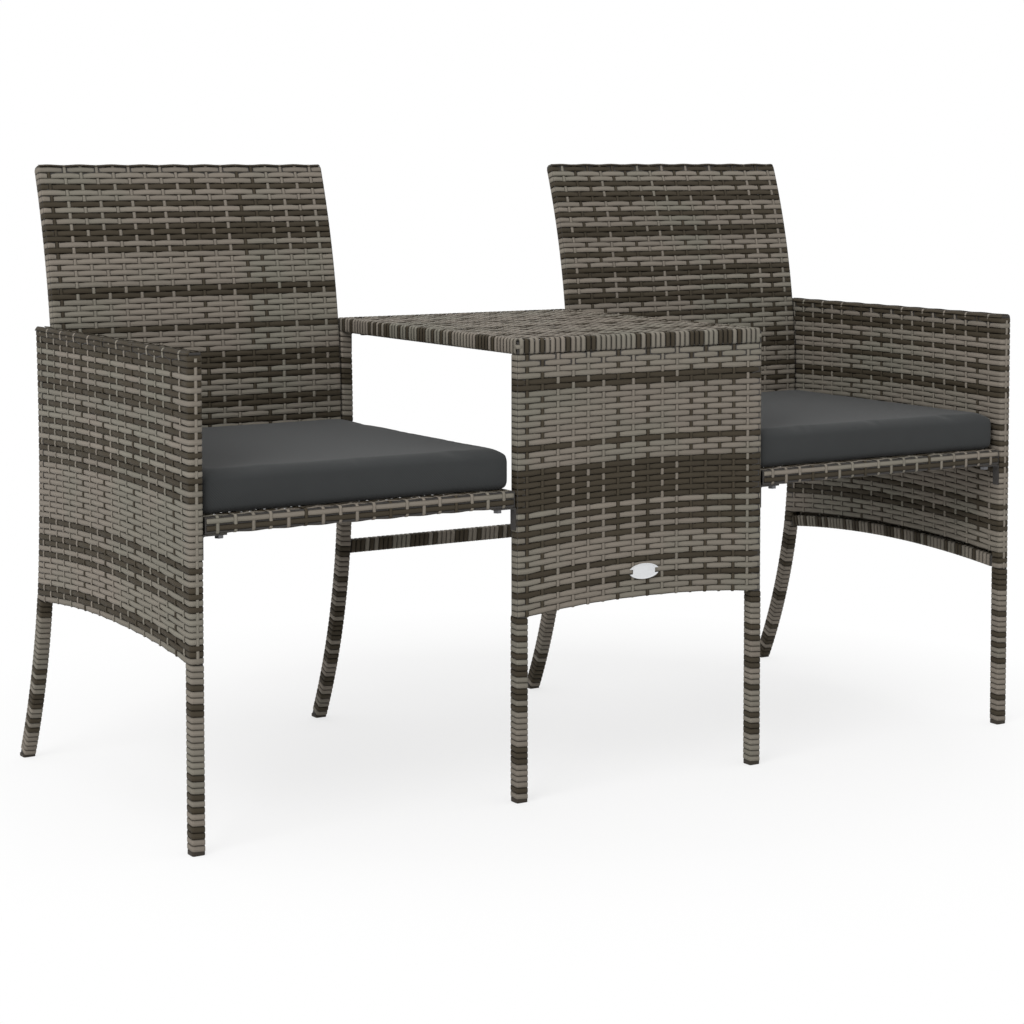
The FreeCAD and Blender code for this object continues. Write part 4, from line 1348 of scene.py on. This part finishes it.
def soft_block(middle, size, corner, edge):
    """A block with round corners and soft edges, each a radius in metres and its steps."""
    clear_selection()
    bpy.ops.mesh.primitive_cube_add(size=1.0, location=middle)
    block = bpy.context.object
    block.scale = size
    bpy.ops.object.transform_apply(location=True, rotation=True, scale=True)
    bpy.ops.object.mode_set(mode="EDIT")
    bpy.ops.mesh.select_mode(type="EDGE")
    select_edges(block, lambda a, b: abs(a.z - b.z) > LEVEL)
    bpy.ops.mesh.bevel(offset=corner[0], segments=corner[1])
    select_edges(block, lambda a, b: abs(a.z - b.z) < LEVEL)
    bpy.ops.mesh.bevel(offset=edge[0], segments=edge[1])
    bpy.ops.object.mode_set(mode="OBJECT")
    return block


def applied(piece, kind, **values):
    """Adds a modifier and applies it."""
    only(piece)
    modifier = piece.modifiers.new("step", kind)
    for name, value in values.items():
        setattr(modifier, name, value)
    bpy.ops.object.modifier_apply(modifier=modifier.name)


def places_of(mesh):
    places = np.empty(len(mesh.vertices) * 3)
    mesh.vertices.foreach_get("co", places)
    return places.reshape(-1, 3)


def stuff(piece, low, high):
    """Fills the cover from inside, and keeps it on its seat and in its place."""
    modifier = piece.modifiers.new("stuffing", "CLOTH")
    cloth = modifier.settings
    cloth.use_pressure = True
    cloth.uniform_pressure_force = 4.0
    cloth.effector_weights.gravity = 0.0
    cloth.tension_stiffness = 18.0
    cloth.compression_stiffness = 18.0
    cloth.bending_stiffness = 2.5
    modifier.collision_settings.use_collision = False
    modifier.point_cache.frame_start = 1
    modifier.point_cache.frame_end = CUSHION_FRAMES
    before = places_of(piece.data)
    scene = bpy.context.scene
    for number in range(1, CUSHION_FRAMES + 1):
        scene.frame_set(number)
    after = places_of(piece.evaluated_get(bpy.context.evaluated_depsgraph_get()).to_mesh())
    only(piece)
    piece.modifiers.remove(modifier)
    scene.frame_set(1)
    move = after - before
    far = np.linalg.norm(move, axis=1)[:, None]
    move *= np.minimum(1.0, CUSHION_REACH / np.maximum(far, 1e-9))
    shape_cushion(piece, before + move, low, high)


def shape_cushion(piece, points, low, high):
    """Crowns the top, pulls the sides in between the corners and keeps the rest in its place."""
    low, high = np.array(low), np.array(high)
    share = (points - (low + high) / 2) / ((high - low) / 2)
    u, v, w = np.clip(share, -1.0, 1.0).T
    points = points.copy()
    points[:, 0] -= CUSHION_PULL * np.sign(u) * np.abs(u) ** 5 * (1 - v ** 4)
    points[:, 1] -= CUSHION_PULL * np.sign(v) * np.abs(v) ** 5 * (1 - u ** 4)
    points[:, 2] += CUSHION_CROWN * np.clip(w, 0.0, 1.0) * (1 - u ** 4) * (1 - v ** 4)
    points = np.clip(points, low, high)
    piece.data.vertices.foreach_set("co", points.ravel())
    piece.data.update()


def make_cushion(side):
    node_name = side + "_cushion_cover"
    low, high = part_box(node_name)
    spread = Vector((CUSHION_SPREAD, 0.0, 0.0))
    low, high = low - spread, high + spread
    inset = Vector((CUSHION_INSET, CUSHION_INSET, 0.0))
    top = Vector((0.0, 0.0, CUSHION_CROWN))
    base, brim = low + inset, high - inset - top
    piece = soft_block((base + brim) / 2, brim - base, CUSHION_CORNER, CUSHION_EDGE)
    applied(piece, "REMESH", mode="VOXEL", voxel_size=CUSHION_VOXEL)
    stuff(piece, low, high)
    applied(piece, "SMOOTH", factor=0.5, iterations=2)
    applied(piece, "SUBSURF", levels=1, render_levels=1)
    only(piece)
    bpy.ops.object.shade_smooth()
    settle(piece, side + "_cushion_stuffed", "cover", side + "_cushion",
           node_name, side + "_cushion_foam")


# Small pieces

# Width and height of the caps in millimetres, and their rounds in metres with the steps of each
CAP_SIZES = {
    "front": (LEG_SECTION + 0.6, CAP_BASE + 2.2),
    "rear": (LEG_SECTION + 1.2, CAP_BASE + 0.8),
}
CAP_CORNER = (0.0028, 4)
CAP_EDGE = (0.0008, 2)


def make_caps():
    """Foot caps under the front legs and under the rear legs: one of each set, and its copies."""
    middle = LEG_SECTION / 2
    for group, y in (("front", middle), ("rear", leg_y(middle, CAP_BASE / 2))):
        wide, tall = CAP_SIZES[group]
        place, size = Vector((LEG_PLACES[0], y + FRONT, tall / 2)), Vector((wide, wide, tall))
        caps = [soft_block(place * MM, size * MM, CAP_CORNER, CAP_EDGE)]
        for gap in np.diff(LEG_PLACES) * MM:
            bpy.ops.object.duplicate_move(TRANSFORM_OT_translate={"value": (gap, 0.0, 0.0)})
            caps.append(bpy.context.object)
        only(caps[0])
        for cap in caps:
            cap.select_set(True)
        bpy.ops.object.join()
        bpy.ops.object.shade_smooth_by_angle(angle=math.radians(40.0))
        settle(bpy.context.object, group + "_foot_cap_set", "cap", "bench", group + "_foot_caps")


# Plate: its place in millimetres, and in metres its radius, thickness, rim, sunk middle and
# edges, and the size and place of the slots in its ends
PLATE_PLACE = (0.6, -0.9, 291.5)
PLATE_RADIUS = 0.0106
PLATE_STRETCH = 2.3
PLATE_THICKNESS = 0.0014
PLATE_RIM = 0.0010
PLATE_SLOPE = 0.0006
PLATE_SUNK = 0.0004
PLATE_EDGE = 0.00025
PLATE_SLOT = (0.009, 0.012, 0.0064)
PLATE_SLOT_PLACE = 0.0224


def make_plate():
    """A blank oval plate on the table's front, with a raised rim and a slot in each end."""
    clear_selection()
    x, y, z = PLATE_PLACE
    place = Vector((x, y + FRONT, z)) * MM
    bpy.ops.mesh.primitive_circle_add(
        vertices=56, radius=PLATE_RADIUS, fill_type="NGON", location=place)
    plate = bpy.context.object
    bpy.ops.object.mode_set(mode="EDIT")
    bpy.ops.mesh.select_all(action="SELECT")
    bpy.ops.transform.rotate(value=-math.pi / 2, orient_axis="X", center_override=place)
    bpy.ops.transform.resize(value=(PLATE_STRETCH, 1.0, 1.0), center_override=place)
    bpy.ops.mesh.extrude_region_move(TRANSFORM_OT_translate={"value": (0.0, -PLATE_THICKNESS, 0.0)})
    bpy.ops.mesh.inset(thickness=PLATE_RIM)
    bpy.ops.mesh.inset(thickness=PLATE_SLOPE, depth=-PLATE_SUNK)
    bpy.ops.mesh.select_all(action="SELECT")
    bpy.ops.mesh.normals_make_consistent(inside=False)
    bpy.ops.object.mode_set(mode="OBJECT")
    for side in (-PLATE_SLOT_PLACE, PLATE_SLOT_PLACE):
        clear_selection()
        bpy.ops.mesh.primitive_cube_add(size=1.0, location=place + Vector((side, 0.0, 0.0)))
        cutter = bpy.context.object
        bpy.ops.transform.resize(value=PLATE_SLOT)
        bpy.ops.object.transform_apply(location=True, rotation=True, scale=True)
        applied(plate, "BOOLEAN", operation="DIFFERENCE", object=cutter, solver="EXACT")
        bpy.data.objects.remove(cutter)
    applied(plate, "BEVEL", width=PLATE_EDGE, segments=2, limit_method="ANGLE")
    only(plate)
    bpy.ops.object.transform_apply(location=True, rotation=True, scale=True)
    bpy.ops.object.shade_smooth_by_angle(angle=math.radians(35.0))
    settle(plate, "blank_plate", "plate", "bench")


def finish_steel():
    """Gives the tubes, brackets and bolts that stay as they are their finishes."""
    slots = {part["node"]: part["material_slot"] for part in frame["record"]["subparts"]}
    for name, piece in frame["nodes"].items():
        # The foam has no finish of its own, as a cushion stands in its place
        finish = finish_of(slots[name] if slots[name] in FINISHES else "cover")
        if not piece.material_slots:
            piece.data.materials.append(finish)
        for place in piece.material_slots:
            place.material = finish


# Stage

# The camera's place in millimetres and its turns in degrees, as fitted to the photograph
CAMERA_PLACE = (-1861.4, -2669.2, 847.2)
CAMERA_YAW = 31.768
CAMERA_PITCH = 3.494
CAMERA_LENS = 85.151
CAMERA_SENSOR = 36.0
CAMERA_SHIFT = -0.2
# One large lamp from the left, in metres and watts
KEY_PLACE = (-7.0, -4.0, 6.6)
KEY_TARGET = (0.0, 0.0, 0.4)
KEY_SIZE = 5.0
KEY_POWER = 410.0
# The sky's light, which shows as full white, and the floor's colours as it lights and as it shows
SKY_LEVEL = 0.85
FLOOR_BOUNCE = (0.62, 0.62, 0.62, 1.0)
FLOOR_SHOWN = ((0.92, 0.92, 0.92, 1.0), (0.94, 0.94, 0.94, 1.0))
FLOOR_SIZE = 40.0
FLOOR_DROP = 0.0005
# The share of plain white on the floor near the bench, and how it grows with the distance
FLOOR_GLOW = 0.7
GLOW_START = 0.6
GLOW_GROWTH = 0.7


def white_to_camera(tree):
    """A share that is 1 for what the camera sees directly, in gloss or through glass."""
    rays = [node(tree, "ShaderNodeLightPath", {}, [], "Is %s Ray" % kind)
            for kind in ("Camera", "Glossy", "Transmission")]
    return (rays[0] + rays[1] + rays[2]).clamped(0.0, 1.0)


def set_sky():
    world = bpy.data.worlds.new("studio")
    bpy.context.scene.world = world
    world.use_nodes = True
    tree = world.node_tree
    sky = tree.nodes["Background"]
    sky.inputs["Color"].default_value = (1.0, 1.0, 1.0, 1.0)
    level = white_to_camera(tree) * (1.0 - SKY_LEVEL) + SKY_LEVEL
    tree.links.new(level.output, sky.inputs["Strength"])


def floor_finish(tree):
    cloud = noise(tree, object_place(tree), 2.0, 2.0)
    shown = blend(tree, cloud, *FLOOR_SHOWN)
    return {
        "Base Color": blend(tree, white_to_camera(tree), FLOOR_BOUNCE, shown),
        "Roughness": 0.9,
        "Specular IOR Level": 0.0,
    }


def lay_floor():
    """A floor that shows as white paper with the bench's shadow."""
    clear_selection()
    bpy.ops.mesh.primitive_grid_add(
        x_subdivisions=8, y_subdivisions=8, size=FLOOR_SIZE, location=(0.0, 0.0, -FLOOR_DROP))
    floor = bpy.context.object
    floor.name = "studio_floor"
    paper = material("studio_paper", floor_finish)
    tree = paper.node_tree
    far = node(tree, "ShaderNodeVectorMath", {"operation": "LENGTH"}, [object_place(tree)], 1)
    grown = ((far - GLOW_START) * GLOW_GROWTH).clamped(0.0, 1.0 - FLOOR_GLOW)
    share = white_to_camera(tree) * (grown + FLOOR_GLOW)
    lit = Socket(tree, tree.nodes["Principled BSDF"].outputs[0])
    glow = node(tree, "ShaderNodeEmission", {}, [])
    mixed = node(tree, "ShaderNodeMixShader", {}, [share, lit, glow])
    tree.links.new(mixed.output, tree.nodes["Material Output"].inputs["Surface"])
    floor.data.materials.append(paper)


def hold(name, data, place):
    """Puts a lamp or a camera in the scene."""
    holder = bpy.data.objects.new(name, data)
    holder.location = place
    bpy.context.scene.collection.objects.link(holder)
    return holder


def set_stage():
    scene = bpy.context.scene
    scene.view_settings.view_transform = "Standard"
    set_sky()
    lay_floor()

    lamp = bpy.data.lights.new("key_softbox", "AREA")
    lamp.shape = "RECTANGLE"
    lamp.size = lamp.size_y = KEY_SIZE
    lamp.energy = KEY_POWER
    way = Vector(KEY_TARGET) - Vector(KEY_PLACE)
    hold("key_softbox", lamp, KEY_PLACE).rotation_euler = way.to_track_quat("-Z", "Y").to_euler()

    camera = bpy.data.cameras.new("camera")
    camera.sensor_width = CAMERA_SENSOR
    camera.lens = CAMERA_LENS
    camera.shift_y = CAMERA_SHIFT
    x, y, z = CAMERA_PLACE
    holder = hold("camera", camera, Vector((x, y + FRONT, z)) * MM)
    holder.rotation_euler = (math.radians(90.0 - CAMERA_PITCH), 0.0, -math.radians(CAMERA_YAW))
    scene.camera = holder


# Operators

class BENCH_OT_weave_arms(bpy.types.Operator):
    """Weaves both arms round their legs and top rails"""
    bl_idname = "bench.weave_arms"
    bl_label = "Weave arms"

    def execute(self, context):
        weave_arm("left_arm_woven", 1.0, LEFT_ARM_ROWS, LEFT_ARM_WARPS)
        weave_arm("right_arm_woven", -1.0, RIGHT_ARM_ROWS, RIGHT_ARM_WARPS)
        return {"FINISHED"}


class BENCH_OT_weave_backs(bpy.types.Operator):
    """Weaves both backs and winds their end bars"""
    bl_idname = "bench.weave_backs"
    bl_label = "Weave backs"

    def execute(self, context):
        weave_back("left_back_woven", 1.0, LEFT_BACK_ROWS, LEFT_BACK_WARPS, 1)
        weave_back("right_back_woven", -1.0, RIGHT_BACK_ROWS, RIGHT_BACK_WARPS, 1)
        wind_back_bars()
        return {"FINISHED"}


class BENCH_OT_weave_seats(bpy.types.Operator):
    """Weaves both seats over their rails"""
    bl_idname = "bench.weave_seats"
    bl_label = "Weave seats"

    def execute(self, context):
        weave_seat("left_seat_woven", 1.0)
        weave_seat("right_seat_woven", -1.0)
        return {"FINISHED"}


class BENCH_OT_weave_table(bpy.types.Operator):
    """Weaves the table's front and top and binds its edge"""
    bl_idname = "bench.weave_table"
    bl_label = "Weave table"

    def execute(self, context):
        weave_table_front()
        weave_table_top()
        bind_table_edge()
        return {"FINISHED"}


class BENCH_OT_wind_tubes(bpy.types.Operator):
    """Winds strand round the legs, the arched rails and the stretcher"""
    bl_idname = "bench.wind_tubes"
    bl_label = "Wind tubes"

    def execute(self, context):
        wind_legs()
        wind_rails()
        return {"FINISHED"}


class BENCH_OT_make_cushions(bpy.types.Operator):
    """Makes the two loose seat cushions"""
    bl_idname = "bench.make_cushions"
    bl_label = "Make cushions"

    def execute(self, context):
        make_cushion("left")
        make_cushion("right")
        return {"FINISHED"}


class BENCH_OT_make_small_pieces(bpy.types.Operator):
    """Makes the foot caps and the blank plate"""
    bl_idname = "bench.make_small_pieces"
    bl_label = "Make small pieces"

    def execute(self, context):
        make_caps()
        make_plate()
        return {"FINISHED"}


class BENCH_OT_finish_steel(bpy.types.Operator):
    """Finishes the steel tubes, brackets and bolts"""
    bl_idname = "bench.finish_steel"
    bl_label = "Finish steel"

    def execute(self, context):
        finish_steel()
        return {"FINISHED"}


class BENCH_OT_set_stage(bpy.types.Operator):
    """Sets the sky, floor, lamp and camera"""
    bl_idname = "bench.set_stage"
    bl_label = "Set stage"

    def execute(self, context):
        set_stage()
        return {"FINISHED"}


STEPS = (
    BENCH_OT_finish_steel,
    BENCH_OT_weave_arms,
    BENCH_OT_weave_backs,
    BENCH_OT_weave_seats,
    BENCH_OT_weave_table,
    BENCH_OT_wind_tubes,
    BENCH_OT_make_cushions,
    BENCH_OT_make_small_pieces,
    BENCH_OT_set_stage,
)


class BENCH_PT_pieces(bpy.types.Panel):
    bl_idname = "BENCH_PT_pieces"
    bl_label = "Woven garden bench"
    bl_space_type = "VIEW_3D"
    bl_region_type = "UI"
    bl_category = "Bench"

    def draw(self, context):
        for step in STEPS:
            self.layout.operator(step.bl_idname)
        for group in (context.scene.bench_sizes, context.scene.bench_colours):
            for name in group.__annotations__:
                self.layout.prop(group, name)


CLASSES = (BenchSizes, BenchColours, *STEPS, BENCH_PT_pieces)


def register():
    for kind in CLASSES:
        bpy.utils.register_class(kind)
    bpy.types.Scene.bench_sizes = bpy.props.PointerProperty(type=BenchSizes)
    bpy.types.Scene.bench_colours = bpy.props.PointerProperty(type=BenchColours)


def unregister():
    del bpy.types.Scene.bench_colours
    del bpy.types.Scene.bench_sizes
    for kind in reversed(CLASSES):
        bpy.utils.unregister_class(kind)


def main():
    register()
    for step in STEPS:
        group, name = step.bl_idname.split(".")
        getattr(getattr(bpy.ops, group), name)()


if __name__ == "__main__":
    main()
